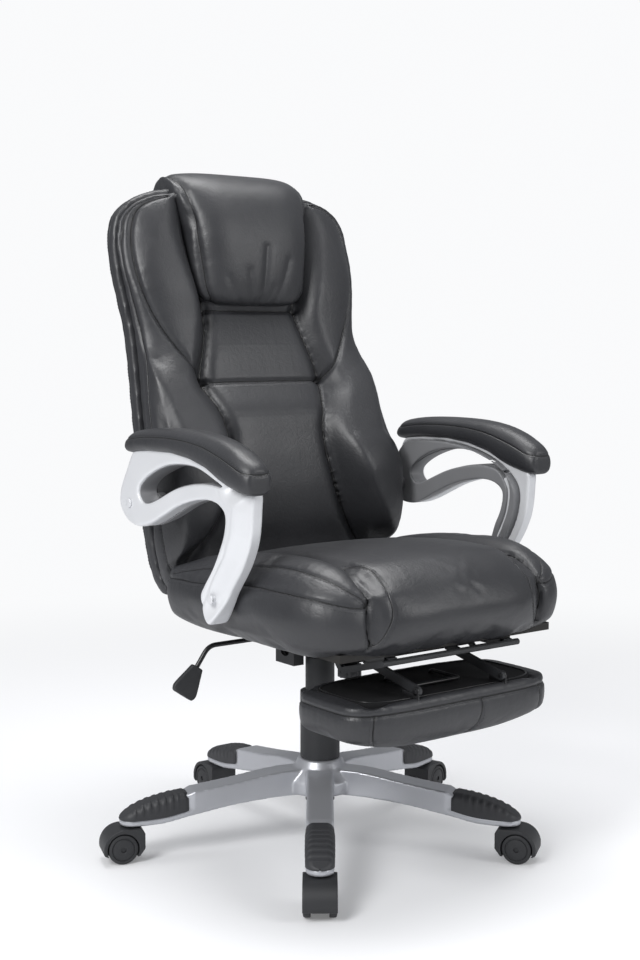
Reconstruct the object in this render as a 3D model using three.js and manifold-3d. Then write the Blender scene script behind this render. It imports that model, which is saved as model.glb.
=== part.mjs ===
// A high-backed reclining office chair with a pull-out footrest.
// Millimetres, +Z up. The origin is on the floor, on the axis of the gas column.
// The sitter faces -Y, so the sitter's right hand is at -X.

import * as THREE from 'three';
import { mergeVertices } from 'three/addons/utils/BufferGeometryUtils.js';
import Module from 'manifold-3d';

const wasm = await Module();
wasm.setup();

// Driving dimensions of the base and the column
const legReach = 350;
const legWidth = 44;
const hubHeight = 146;
const hubRadius = 40;
const hubFlare = 20;
const hubFloor = 84;
const legEdgeRound = 13;
const legCount = 5;
const baseTurn = THREE.MathUtils.degToRad(233);
const footPadLength = 114;
const footPadStart = legReach - footPadLength;
const footPadWall = 3.4;
const footPadProud = 0.6;
const rimHeight = 10;
const coverRadius = 34;
const coverWall = 2.8;
const coverTop = 262;
const tubeRadius = 25;
const tubeFloor = 70;
const tubeTop = 322;
const bushingHeight = 13;
const bushingRadius = 19;
const pistonRadius = 14;
const pistonFoot = 165;
const pistonTop = 362;

// Driving dimensions of a caster
const wheelRadius = 25;
const wheelWidth = 12;
const wheelEdge = 3;
const casterTrail = 19.5;
const casterWidth = 53;
const hoodRadius = 32.5;
const hoodInner = 36.3;
const hoodFloor = 12;
const hoodGap = 1.5;
const hoodCore = 13.4;
const axleRadius = 4;
const stemRadius = 5.5;
const stemTop = 79;

// Driving dimensions of the tilt mechanism
const dishFloor = 345;
const dishRadius = 55;
const trayFloor = 352;
const sheet = 4;
const trayHalfWidth = 56;
const trayFront = -106;
const trayRear = 60;
const socketRadius = 21;
const pivotY = -30;
const pivotZ = 368;
const pivotRadius = 5;
const plateHalfWidth = 90;
const plateUnderside = 390;
const plateFront = -128;
const plateRear = 76;
const earReach = 15;
const knobY = -82;
const knobRadius = 20;
const knobHeight = 22;
const springRadius = 17.4;
const springWire = 3;
const springCurls = 11;
const springLow = 323;
const boltRadius = 4.5;
const springSeat = 372;
const leverY = 6;
const leverZ = 366;
const leverRodRadius = 4;
const leverBend = 222;
const leverDrop = 32;
const leverSplay = 22;
const gripLength = 52;
const gripTopWidth = 20;
const gripWidth = 46;
const gripThickness = 13;
const lockBoxHeight = 48;
const lockBoxLow = 308;
const lockBoxInner = 28;
const lockBoxOuter = 49;
const lockBoxFront = 9;
const lockBoxRear = 62;

// Driving dimensions of the seat
const seatHalfWidth = 260;
const seatFront = -366;
const seatRear = 108;
const seatUnderside = plateUnderside;
const seatEdgeHeight = 494;
const seatBolsterHeight = 541;
const seatPanelHeight = 527;
const seatPanelHalf = 158;
const seatGroove = 13;
const boardThickness = 12;
const boardHalfWidth = 214;
const boardFront = -331;
const boardRear = 78;
const railBlockHeight = 96;
const railBlockWidth = 18;

// Driving dimensions of the back
const backFoot = 422;
const backShoulder = 1030;
const backTop = 1128;
const backHalfWidth = 250;
const backRearFoot = 181;
const backLean = 115;
const shellThickness = 43;
const boxingDepth = 32;
const pillowHalfWidth = 140;
const pillowFoot = 916;
const pillowTop = 1155;

// Driving dimensions of an armrest
const armOuter = 307;
const armCoverFace = 279;
const armInner = 270;
const armLength = 364;
const armRear = 142;
const armFoot = 430;
const armHeight = 254;
const armBevel = 4;
const armPadWidth = 54;
const armPadLength = 354;
const armPadRear = 114;
const armBoltRadius = 4;
const armCapRadius = 7.5;
const armCapHeight = 2.2;
const armPlace = ([a, b]) => ({ y: armRear - armLength * a, z: armFoot + armHeight * b });
const rearBoltShares = [0.0934, 0.6535];
const frontBoltShares = [0.758, 0.161];
const rearBolt = armPlace(rearBoltShares);
const frontBolt = armPlace(frontBoltShares);
const bossRadius = 13;

// Driving dimensions of the footrest
const footrestHalfWidth = 203;
const footrestFront = -364;
const footrestRear = -184;
const footrestLining = 331;
const footrestBottom = 246;
const footrestHingeY = -355;
const footrestHingeZ = 341;
const footrestArmX = 85;
const railX = 118;
const railWidth = 22;
const railHeight = 14;
const railWall = 2;
const railFront = -329;
const railRear = -24;
const railSlot = 10;
const slideGap = 0.5;
const crossbarY = -228;
const crossbarZ = 368;
const crossbarRadius = 5;
const frontBarY = -335.5;
const frontBarZ = 385;
const braceX = 137;
const braceWidth = 10;

// Clearances and finenesses that pieces share
const gap = 0.3;
const runningGap = 0.4;
const overrun = 2;
const round = 20;
const fineRound = 24;
const boltRound = 12;
const wheelRound = 16;

// Materials, with colours as photographed
function finish(color, roughness, metalness) {
  return new THREE.MeshStandardMaterial({ color, roughness, metalness });
}
const blackLeather = finish(0x3c3d42, 0.5, 0);
const blackLining = finish(0x101012, 0.9, 0);
const silverPaint = finish(0xa9acb3, 0.42, 0.35);
const armSilver = finish(0xd6d8dc, 0.4, 0.25);
const darkPlastic = finish(0x3a3b3f, 0.6, 0);
const greyPlastic = finish(0x4f5156, 0.55, 0);
const blackSteel = finish(0x1d1e20, 0.45, 0.5);
const brightSteel = finish(0xb8babd, 0.25, 0.9);
const plywood = finish(0xb08d5f, 0.8, 0);

// Helpers that turn three.js geometry into solids and solids into named meshes

function toSolid(geometry) {
  const plain = geometry.clone();
  plain.deleteAttribute('normal');
  plain.deleteAttribute('uv');
  const merged = mergeVertices(plain, 1e-4);
  const mesh = new wasm.Mesh({
    numProp: 3,
    vertProperties: new Float32Array(merged.attributes.position.array),
    triVerts: new Uint32Array(merged.index.array),
  });
  const solid = new wasm.Manifold(mesh);
  if (solid.volume() > 0) return solid;
  const flipped = new Uint32Array(merged.index.array);
  for (let i = 0; i < flipped.length; i += 3) {
    const keep = flipped[i];
    flipped[i] = flipped[i + 1];
    flipped[i + 1] = keep;
  }
  return new wasm.Manifold(new wasm.Mesh({
    numProp: 3,
    vertProperties: new Float32Array(merged.attributes.position.array),
    triVerts: flipped,
  }));
}

function toGeometry(solid) {
  const mesh = solid.getMesh();
  const geometry = new THREE.BufferGeometry();
  geometry.setAttribute('position', new THREE.BufferAttribute(new Float32Array(mesh.vertProperties), 3));
  geometry.setIndex(new THREE.BufferAttribute(new Uint32Array(mesh.triVerts), 1));
  geometry.computeVertexNormals();
  return geometry;
}

function place(group, name, solid, material) {
  const mesh = new THREE.Mesh(toGeometry(solid), material);
  mesh.name = name;
  group.add(mesh);
  return mesh;
}

function box(low, high) {
  const size = new THREE.Vector3().subVectors(high, low);
  const centre = new THREE.Vector3().addVectors(high, low).multiplyScalar(0.5);
  const geometry = new THREE.BoxGeometry(size.x, size.y, size.z);
  geometry.translate(centre.x, centre.y, centre.z);
  return toSolid(geometry);
}

function at(x, y, z) {
  return new THREE.Vector3(x, y, z);
}

// A cylinder between two points
function rod(from, to, radius, sides = round) {
  const along = new THREE.Vector3().subVectors(to, from);
  const geometry = new THREE.CylinderGeometry(radius, radius, along.length(), sides);
  const turn = new THREE.Quaternion().setFromUnitVectors(at(0, 1, 0), along.clone().normalize());
  geometry.applyQuaternion(turn);
  const middle = new THREE.Vector3().addVectors(from, to).multiplyScalar(0.5);
  geometry.translate(middle.x, middle.y, middle.z);
  return toSolid(geometry);
}

// A solid of revolution about Z from [radius, height] pairs that close on themselves or on the axis
function revolve(profile, sides = round) {
  const closed = profile[0][0] > 0 ? [...profile, profile[0]] : profile;
  const points = closed.map(([radius, height]) => new THREE.Vector2(radius, height));
  const geometry = new THREE.LatheGeometry(points, sides);
  geometry.rotateX(Math.PI / 2);
  return toSolid(geometry);
}

// An outline in the YZ plane, made thick along X
function extrudeAcross(shape, fromX, toX, bevel = 0, curveSegments = 6) {
  const geometry = new THREE.ExtrudeGeometry(shape, {
    depth: toX - fromX - 2 * bevel,
    bevelEnabled: bevel > 0,
    bevelSize: bevel,
    bevelThickness: bevel,
    bevelOffset: -bevel,
    bevelSegments: 1,
    curveSegments,
  });
  geometry.translate(0, 0, bevel);
  const turn = new THREE.Matrix4().makeBasis(at(0, 1, 0), at(0, 0, 1), at(1, 0, 0));
  geometry.applyMatrix4(turn);
  geometry.translate(fromX, 0, 0);
  return toSolid(geometry);
}

// A closed body through rings of points, with fans over its two ends
function loft(rings) {
  const positions = [];
  const index = [];
  const count = rings[0].length;
  for (const ring of rings) for (const point of ring) positions.push(point.x, point.y, point.z);
  for (let r = 0; r + 1 < rings.length; r += 1) {
    for (let i = 0; i < count; i += 1) {
      const next = (i + 1) % count;
      const a = r * count + i;
      const b = r * count + next;
      index.push(a, b, a + count, b, b + count, a + count);
    }
  }
  const fan = (ring, start, flip) => {
    const centre = new THREE.Vector3();
    ring.forEach((point) => centre.add(point));
    centre.divideScalar(count);
    const hub = positions.length / 3;
    positions.push(centre.x, centre.y, centre.z);
    for (let i = 0; i < count; i += 1) {
      const next = (i + 1) % count;
      if (flip) index.push(start + next, start + i, hub);
      else index.push(start + i, start + next, hub);
    }
  };
  fan(rings[0], 0, true);
  fan(rings[rings.length - 1], (rings.length - 1) * count, false);
  const geometry = new THREE.BufferGeometry();
  geometry.setAttribute('position', new THREE.Float32BufferAttribute(positions, 3));
  geometry.setIndex(index);
  return toSolid(geometry);
}

// A padded body between a front and a back sheet on one grid, with a boxing band round its edge
function padded({ us, vs, front, back, rows, bulge }) {
  const columns = us.length;
  const lines = vs.length;
  const positions = [];
  const index = [];
  const put = (point) => {
    positions.push(point.x, point.y, point.z);
    return positions.length / 3 - 1;
  };
  const frontId = vs.map((v) => us.map((u) => put(front(u, v))));
  const backId = vs.map((v) => us.map((u) => put(back(u, v))));
  for (let j = 0; j + 1 < lines; j += 1) {
    for (let i = 0; i + 1 < columns; i += 1) {
      const f = [frontId[j][i], frontId[j][i + 1], frontId[j + 1][i + 1], frontId[j + 1][i]];
      const b = [backId[j][i], backId[j][i + 1], backId[j + 1][i + 1], backId[j + 1][i]];
      index.push(f[0], f[1], f[2], f[0], f[2], f[3]);
      index.push(b[0], b[2], b[1], b[0], b[3], b[2]);
    }
  }
  const loop = [];
  for (let i = 0; i + 1 < columns; i += 1) loop.push([0, i]);
  for (let j = 0; j + 1 < lines; j += 1) loop.push([j, columns - 1]);
  for (let i = columns - 1; i > 0; i -= 1) loop.push([lines - 1, i]);
  for (let j = lines - 1; j > 0; j -= 1) loop.push([j, 0]);
  const pointOf = (id) => at(positions[3 * id], positions[3 * id + 1], positions[3 * id + 2]);
  const centre = new THREE.Vector3();
  loop.forEach(([j, i]) => centre.add(pointOf(frontId[j][i])));
  centre.divideScalar(loop.length);
  const ringIds = [loop.map(([j, i]) => frontId[j][i])];
  for (let row = 1; row <= rows; row += 1) {
    const share = row / (rows + 1);
    ringIds.push(loop.map(([j, i], k) => {
      const near = pointOf(frontId[j][i]);
      const far = pointOf(backId[j][i]);
      const before = loop[(k + loop.length - 1) % loop.length];
      const after = loop[(k + 1) % loop.length];
      const along = pointOf(frontId[after[0]][after[1]]).sub(pointOf(frontId[before[0]][before[1]]));
      const outward = along.cross(new THREE.Vector3().subVectors(far, near)).normalize();
      if (outward.dot(new THREE.Vector3().subVectors(near, centre)) < 0) outward.negate();
      return put(near.lerp(far, share).addScaledVector(outward, bulge * Math.sin(Math.PI * share)));
    }));
  }
  ringIds.push(loop.map(([j, i]) => backId[j][i]));
  for (let r = 0; r + 1 < ringIds.length; r += 1) {
    for (let k = 0; k < loop.length; k += 1) {
      const next = (k + 1) % loop.length;
      const a = ringIds[r][k];
      const b = ringIds[r][next];
      const c = ringIds[r + 1][next];
      const d = ringIds[r + 1][k];
      index.push(a, d, c, a, c, b);
    }
  }
  const geometry = new THREE.BufferGeometry();
  geometry.setAttribute('position', new THREE.Float32BufferAttribute(positions, 3));
  geometry.setIndex(index);
  return toSolid(geometry);
}

// A value read between rows of a table of shares, with eased steps from row to row
function readTable(table, share, column = 1) {
  let low = 0;
  while (low + 2 < table.length && table[low + 1][0] <= share) low += 1;
  const [from, to] = [table[low], table[low + 1]];
  const t = Math.min(Math.max((share - from[0]) / (to[0] - from[0]), 0), 1);
  const before = table[Math.max(low - 1, 0)];
  const after = table[Math.min(low + 2, table.length - 1)];
  const slopeFrom = (to[column] - before[column]) / Math.max(to[0] - before[0], 1e-9);
  const slopeTo = (after[column] - from[column]) / Math.max(after[0] - from[0], 1e-9);
  const span = to[0] - from[0];
  const t2 = t * t;
  const t3 = t2 * t;
  return (2 * t3 - 3 * t2 + 1) * from[column] + (t3 - 2 * t2 + t) * span * slopeFrom
    + (3 * t2 - 2 * t3) * to[column] + (t3 - t2) * span * slopeTo;
}

function smooth(low, high, value) {
  const t = Math.min(Math.max((value - low) / (high - low), 0), 1);
  return t * t * (3 - 2 * t);
}

// Where a square grid point falls inside a square with rounded corners
function roundedSquare(u, v, power) {
  const most = Math.max(Math.abs(u), Math.abs(v));
  if (most === 0) return [0, 0];
  const reach = (Math.abs(u) ** power + Math.abs(v) ** power) ** (1 / power);
  return [(u * most) / reach, (v * most) / reach];
}

const chair = new THREE.Group();

// The star base: five legs with a lower rim, each leg a beam that is set in under its foot pad

const legRowShares = [
  [0.06, 0.897, 0.6], [0.23, 0.888, 0.596], [0.45, 0.812, 0.555], [0.62, 0.762, 0.492],
  [0.674, 0.748, 0.472], [0.78, 0.71, 0.424], [0.87, 0.66, 0.41], [0.93, 0.604, 0.41],
  [0.972, 0.546, 0.41], [1, 0.5, 0.41],
];
const tipRadius = legWidth / 2;
const tipCentre = legReach - tipRadius;
const legTopAt = (radius) => hubHeight * readTable(legRowShares, radius / legReach, 1);
const legFloorAt = (radius) => hubHeight * readTable(legRowShares, radius / legReach, 2);
const casterRadius = tipCentre;

function legHalfWidth(radius, inset) {
  const half = tipRadius - inset;
  if (radius <= tipCentre) return half;
  return Math.sqrt(Math.max(half ** 2 - (radius - tipCentre) ** 2, (0.12 * half) ** 2));
}

// One cross section of a leg: flat below, sides upright, top edges rounded
function legSection(radius, half, floor, top) {
  const bend = Math.min(legEdgeRound, half * 0.9, (top - floor) * 0.9);
  const points = [at(radius, -half, floor), at(radius, half, floor)];
  const steps = 2;
  for (let i = 0; i <= steps; i += 1) {
    const angle = (Math.PI / 2) * (i / steps);
    points.push(at(radius, half - bend + bend * Math.cos(angle), top - bend + bend * Math.sin(angle)));
  }
  for (let i = 0; i <= steps; i += 1) {
    const angle = (Math.PI / 2) * (1 - i / steps);
    points.push(at(radius, -half + bend - bend * Math.cos(angle), top - bend + bend * Math.sin(angle)));
  }
  return points;
}

function tipStations(from, inset) {
  const last = tipCentre + (tipRadius - inset) * 0.992;
  const tipShares = [0.45, 0.75, 0.92];
  const along = [from];
  const straight = [0.5, 0.8, 1];
  straight.forEach((share) => along.push(from + (tipCentre - from) * share));
  tipShares.forEach((share) => along.push(tipCentre + (tipRadius - inset) * share));
  along.push(last);
  return along;
}

const beamStart = hubRadius * 0.7;
const beamShares = [0.06, 0.23, 0.45, 0.62];
const beamStations = beamShares.map((share) => share * legReach)
  .filter((radius) => radius > beamStart && radius < footPadStart);
const fullSections = [beamStart, ...beamStations, footPadStart].map(
  (radius) => legSection(radius, tipRadius, legFloorAt(radius), legTopAt(radius)),
);
const coreShares = [0.78, 0.87, 0.93, 0.972];
const coreRadii = coreShares.map((share) => share * legReach).filter((radius) => radius > footPadStart);
const coreStations = [footPadStart - overrun, ...coreRadii];
function coreSection(radius, inset, floor) {
  const half = legHalfWidth(radius, inset);
  const top = legTopAt(radius) - inset;
  const bend = Math.min(legEdgeRound * 0.6, half * 0.6);
  return [
    at(radius, -half, floor), at(radius, half, floor), at(radius, half, top - bend),
    at(radius, half - bend, top), at(radius, -half + bend, top), at(radius, -half, top - bend),
  ];
}
const coreSections = coreStations.map(
  (radius) => coreSection(radius, footPadWall, legFloorAt(Math.min(radius, legReach))),
);
const rimSections = tipStations(footPadStart - overrun, 0).map((radius) => {
  const half = legHalfWidth(radius, 0);
  const floor = legFloorAt(radius);
  return [
    at(radius, -half, floor), at(radius, half, floor),
    at(radius, half, floor + rimHeight), at(radius, -half, floor + rimHeight),
  ];
});
const stemHole = rod(
  at(casterRadius, 0, 0),
  at(casterRadius, 0, stemTop + gap),
  stemRadius + gap,
  boltRound,
);
const legChannelShares = [0.2, 0.45, 0.66, 0.84];
const channelWall = 4;
const channelSections = legChannelShares.map((share) => {
  const radius = share * legReach;
  const half = tipRadius - channelWall;
  const roof = legTopAt(radius) - channelWall * 2;
  return [
    at(radius, -half, -overrun), at(radius, half, -overrun),
    at(radius, half * 0.7, roof), at(radius, -half * 0.7, roof),
  ];
});
const leg = loft(fullSections).add(loft(coreSections)).add(loft(rimSections))
  .subtract(loft(channelSections)).subtract(stemHole);

const hub = revolve([
  [tubeRadius + gap, hubFloor], [hubRadius, hubFloor], [hubRadius + hubFlare, hubFloor + hubFlare * 0.4],
  [hubRadius + hubFlare, legTopAt(hubRadius + hubFlare) - hubFlare],
  [hubRadius + hubFlare * 0.2, legTopAt(hubRadius) + hubFlare * 0.15],
  [hubRadius - hubFlare * 0.15, hubHeight], [tubeRadius + gap, hubHeight],
], fineRound);
const boreCut = rod(at(0, 0, 0), at(0, 0, hubHeight + overrun), tubeRadius + gap, fineRound);
let star = hub;
for (let k = 0; k < legCount; k += 1) {
  const degrees = THREE.MathUtils.radToDeg(baseTurn) + (360 / legCount) * k;
  star = star.add(leg.rotate([0, 0, degrees]));
}
star = star.subtract(boreCut);
const baseGroup = new THREE.Group();
chair.add(baseGroup);
place(baseGroup, 'base_star', star, silverPaint);

// A foot pad wraps the top and the sides of a leg's outer third and stands on the leg's rim
const padStations = tipStations(footPadStart + gap, -footPadProud / 2);
const padSections = padStations.map((radius) => {
  const half = legHalfWidth(radius, -footPadProud);
  const floor = legFloorAt(radius) + rimHeight + gap;
  return legSection(radius, half, floor, Math.max(legTopAt(radius) + footPadProud, floor + rimHeight));
});
const hollowStations = coreStations.map((radius, i) => radius + (i === coreStations.length - 1 ? gap : 0));
const hollowSections = hollowStations.map((radius) => coreSection(radius, footPadWall - gap, 0));
const footPad = loft(padSections).subtract(loft(hollowSections));

// A caster: its stem, its hood with the axle, and two wheels
const wheelFacetRadius = wheelRadius / Math.cos(Math.PI / wheelRound);
const hoodOutline = new THREE.Shape();
hoodOutline.moveTo(-hoodInner, hoodFloor + hoodFloor);
hoodOutline.lineTo(-hoodInner * 0.75, hoodFloor);
hoodOutline.lineTo(hoodRadius * 0.6, hoodFloor);
hoodOutline.lineTo(hoodRadius * 0.97, wheelRadius - hoodRadius * 0.2);
hoodOutline.absarc(0, wheelRadius, hoodRadius, 0, Math.PI / 2, false);
hoodOutline.lineTo(-hoodInner * 0.85, wheelRadius + hoodRadius);
hoodOutline.lineTo(-hoodInner, wheelRadius + hoodRadius - hoodInner * 0.2);
hoodOutline.closePath();

function turnedAcross(solid) {
  return solid.rotate([90, 0, 0]);
}

function makeHood() {
  const geometry = new THREE.ExtrudeGeometry(hoodOutline, {
    depth: casterWidth,
    bevelEnabled: false,
    curveSegments: 5,
  });
  geometry.translate(0, 0, -casterWidth / 2);
  geometry.rotateX(Math.PI / 2);
  const body = toSolid(geometry);
  const pocket = (side) => rod(
    at(0, side * hoodCore, wheelRadius),
    at(0, side * (casterWidth / 2 + overrun), wheelRadius),
    (wheelRadius + hoodGap) / Math.cos(Math.PI / wheelRound),
    wheelRound,
  );
  const axle = rod(
    at(0, -casterWidth / 2 + wheelEdge, wheelRadius),
    at(0, casterWidth / 2 - wheelEdge, wheelRadius),
    axleRadius,
    boltRound,
  );
  const hole = rod(
    at(-casterTrail, 0, wheelRadius),
    at(-casterTrail, 0, wheelRadius + hoodRadius + overrun),
    stemRadius + gap,
    boltRound,
  );
  return body.subtract(pocket(1)).subtract(pocket(-1)).add(axle).subtract(hole);
}

function makeWheel(side) {
  const inner = hoodCore + gap + gap;
  const outer = inner + wheelWidth;
  const profile = [
    [axleRadius + runningGap, inner], [wheelFacetRadius, inner], [wheelFacetRadius, outer - wheelEdge],
    [wheelFacetRadius - wheelEdge, outer], [axleRadius + runningGap, outer],
  ];
  const halfFacet = 180 / wheelRound;
  const wheel = revolve(profile, wheelRound).rotate([0, 0, halfFacet]);
  return turnedAcross(wheel).rotate([0, 0, side > 0 ? 0 : 180]).translate([0, 0, wheelRadius]);
}

const hood = makeHood();
const stem = rod(
  at(-casterTrail, 0, wheelRadius + gap),
  at(-casterTrail, 0, stemTop),
  stemRadius,
  boltRound,
);
const wheelA = makeWheel(1);
const wheelB = makeWheel(-1);
for (let k = 0; k < legCount; k += 1) {
  const spoke = new THREE.Group();
  spoke.rotation.z = baseTurn + ((2 * Math.PI) / legCount) * k;
  baseGroup.add(spoke);
  place(spoke, `foot_pad_${k + 1}`, footPad, greyPlastic);
  const caster = new THREE.Group();
  caster.position.x = casterRadius + casterTrail;
  spoke.add(caster);
  place(caster, `caster_hood_${k + 1}`, hood, darkPlastic);
  place(caster, `caster_stem_${k + 1}`, stem, blackSteel);
  place(caster, `caster_wheel_${k + 1}a`, wheelA, darkPlastic);
  place(caster, `caster_wheel_${k + 1}b`, wheelB, darkPlastic);
}

// The gas column: a cover, the stand tube with its top bushing, and the piston
const cover = revolve([
  [coverRadius - coverWall, hubHeight + gap], [coverRadius, hubHeight + gap],
  [coverRadius, coverTop], [tubeRadius + gap, coverTop], [tubeRadius + gap, coverTop - coverWall],
  [coverRadius - coverWall, coverTop - coverWall],
], fineRound);
place(chair, 'column_cover', cover, darkPlastic);
const tube = revolve([
  [0, tubeFloor], [tubeRadius, tubeFloor], [tubeRadius, tubeTop], [pistonRadius + gap, tubeTop],
  [pistonRadius + gap, tubeFloor + coverWall], [0, tubeFloor + coverWall],
], fineRound);
place(chair, 'stand_tube', tube, darkPlastic);
const bushingLow = tubeTop + gap;
const bushingTop = bushingLow + bushingHeight;
const bushingNeck = bushingRadius * 0.88;
const bushing = revolve([
  [pistonRadius + gap, bushingLow],
  [bushingRadius, bushingLow],
  [bushingRadius, bushingLow + bushingHeight * 0.4],
  [bushingNeck, bushingLow + bushingHeight * 0.5], [bushingRadius, bushingLow + bushingHeight * 0.65],
  [bushingRadius, bushingTop], [pistonRadius + gap, bushingTop],
], fineRound);
place(chair, 'tube_bushing', bushing, blackSteel);
const pistonTip = pistonRadius * 0.3;
const piston = revolve([
  [0, pistonFoot], [pistonRadius, pistonFoot], [pistonRadius, pistonTop],
  [pistonTip, pistonTop], [pistonTip, pistonTop + pistonTip], [0, pistonTop + pistonTip],
], fineRound);
place(chair, 'gas_piston', piston, brightSteel);

// The tilt mechanism: a pressed tray with a dished floor and a socket for the column
const trayTop = pivotZ + pivotRadius * 2.2;
const trayRearTop = trayFloor + sheet * 2;
const traySide = new THREE.Shape([
  new THREE.Vector2(trayFront, trayFloor),
  new THREE.Vector2(trayRear, trayFloor),
  new THREE.Vector2(trayRear, trayRearTop),
  new THREE.Vector2(pivotY + earReach, trayTop),
  new THREE.Vector2(pivotY - earReach, trayTop),
  new THREE.Vector2(trayFront, springSeat + sheet),
]);
const dish = revolve([
  [pistonRadius + gap, dishFloor], [socketRadius, dishFloor], [dishRadius, trayFloor - sheet * 0.25],
  [dishRadius, trayFloor + sheet], [socketRadius, trayFloor + sheet], [socketRadius, pistonTop - sheet],
  [pistonRadius + gap, pistonTop - sheet],
], fineRound);
const trayPan = box(
  at(-trayHalfWidth, trayFront, trayFloor),
  at(trayHalfWidth, trayRear, trayFloor + sheet),
);
const trayFrontWall = box(
  at(-trayHalfWidth, trayFront, trayFloor),
  at(trayHalfWidth, trayFront + sheet, springSeat + sheet),
);
const trayRearWall = box(
  at(-trayHalfWidth, trayRear - sheet, trayFloor),
  at(trayHalfWidth, trayRear, trayRearTop),
);
const springBridge = box(
  at(-trayHalfWidth, trayFront, springSeat),
  at(trayHalfWidth, knobY + knobRadius, springSeat + sheet),
);
const springHole = rod(
  at(0, knobY, trayFloor - overrun),
  at(0, knobY, trayFloor + sheet + overrun),
  springRadius + springWire,
  round,
);
const boltSlot = box(
  at(-boltRadius - runningGap * 2, knobY - boltRadius * 1.7, springSeat - overrun),
  at(boltRadius + runningGap * 2, knobY + boltRadius * 2.6, springSeat + sheet + overrun),
);
const columnCut = rod(
  at(0, 0, dishFloor - overrun),
  at(0, 0, pistonTop + overrun),
  pistonRadius + gap,
  fineRound,
);
const pivotCut = rod(
  at(-trayHalfWidth - overrun, pivotY, pivotZ),
  at(trayHalfWidth + overrun, pivotY, pivotZ),
  pivotRadius + gap,
  round,
);
const leverHole = rod(
  at(-trayHalfWidth - overrun, leverY, leverZ),
  at(-trayHalfWidth + sheet + overrun, leverY, leverZ),
  leverRodRadius * 2 + gap,
  round,
);
const housing = dish
  .add(trayPan).add(trayFrontWall).add(trayRearWall).add(springBridge)
  .add(extrudeAcross(traySide, -trayHalfWidth, -trayHalfWidth + sheet))
  .add(extrudeAcross(traySide, trayHalfWidth - sheet, trayHalfWidth))
  .subtract(boltSlot).subtract(springHole).subtract(columnCut).subtract(pivotCut).subtract(leverHole);
place(chair, 'mechanism_housing', housing, blackSteel);

const earInner = trayHalfWidth + gap * 3;
const earOuter = earInner + sheet;
const shaft = rod(
  at(-earOuter - sheet, pivotY, pivotZ),
  at(earOuter + sheet, pivotY, pivotZ),
  pivotRadius,
  round,
);
place(chair, 'tilt_shaft', shaft, brightSteel);

// The black bracket with an oval hole that hangs beside the column
const lockWall = 3;
const lockBlock = box(
  at(-lockBoxOuter, lockBoxFront, lockBoxLow),
  at(-lockBoxInner, lockBoxRear, lockBoxLow + lockBoxHeight - sheet - gap),
);
const lockHollow = box(
  at(-lockBoxOuter + lockWall, lockBoxFront + lockWall, lockBoxLow - overrun),
  at(-lockBoxInner - lockWall, lockBoxRear - lockWall, lockBoxLow + lockBoxHeight - sheet * 2 - lockWall),
);
const ovalHalf = lockBoxHeight * 0.17;
const lockMiddleY = (lockBoxFront + lockBoxRear) / 2;
const lockMiddleZ = lockBoxLow + lockBoxHeight * 0.45;
const oval = new THREE.Shape();
oval.absellipse(lockMiddleY, lockMiddleZ, ovalHalf * 1.5, ovalHalf, 0, 2 * Math.PI, false);
const lockHole = extrudeAcross(oval, -lockBoxOuter - overrun, -lockBoxOuter + lockWall + overrun);
const lockTop = dishFloor - overrun;
const lockTrim = box(
  at(-lockBoxOuter - overrun, lockBoxFront - overrun, lockTop),
  at(-lockBoxInner + overrun, lockBoxRear + overrun, lockBoxLow + lockBoxHeight * 2),
);
const lockFlange = box(
  at(-lockBoxOuter, lockBoxRear - lockWall, lockTop - lockWall),
  at(-lockBoxInner, lockBoxRear, trayFloor - gap),
);
const lockBracket = lockBlock.subtract(lockHollow).subtract(lockHole).subtract(lockTrim).add(lockFlange);
place(chair, 'lock_bracket', lockBracket, darkPlastic);

// The tension spring: one unbroken helix whose ends run straight for one wire diameter
const springHigh = springSeat - gap;
const springBase = springLow + springWire / 2;
const springRise = springHigh - springLow - springWire;
const springSteps = 8;
const springSides = 5;
class Helix extends THREE.Curve {
  getPoint(t) {
    const angle = 2 * Math.PI * springCurls * t;
    return at(springRise * t, springRadius * Math.cos(angle), springRadius * Math.sin(angle));
  }
}
const helix = new Helix();
const helixCount = springCurls * springSteps;
const helixPoints = [];
for (let i = 0; i <= helixCount; i += 1) helixPoints.push(helix.getPoint(i / helixCount));
helixPoints.unshift(helixPoints[0].clone().add(at(0, 0, -springWire)));
helixPoints.push(helixPoints[helixPoints.length - 1].clone().add(at(0, 0, springWire)));
const springGap = springRise / springCurls - springWire;
const axisUp = at(1, 0, 0);
const springRings = helixPoints.map((point, i) => {
  const ahead = helixPoints[Math.min(i + 1, helixPoints.length - 1)];
  const behind = helixPoints[Math.max(i - 1, 0)];
  const tangent = new THREE.Vector3().subVectors(ahead, behind).normalize();
  const side = new THREE.Vector3().crossVectors(tangent, axisUp).normalize();
  const up = new THREE.Vector3().crossVectors(side, tangent).normalize();
  const ring = [];
  for (let s = 0; s < springSides; s += 1) {
    const angle = (2 * Math.PI * s) / springSides;
    ring.push(point.clone()
      .addScaledVector(side, (springWire / 2) * Math.cos(angle))
      .addScaledVector(up, (springWire / 2) * Math.sin(angle)));
  }
  return ring;
});
console.log(`tension spring: least gap between curls ${springGap.toFixed(2)} mm`);
const spring = loft(springRings).rotate([0, -90, 0]);
const springMesh = place(chair, 'tension_spring', spring, blackSteel);
springMesh.position.set(0, knobY, springBase);

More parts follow.
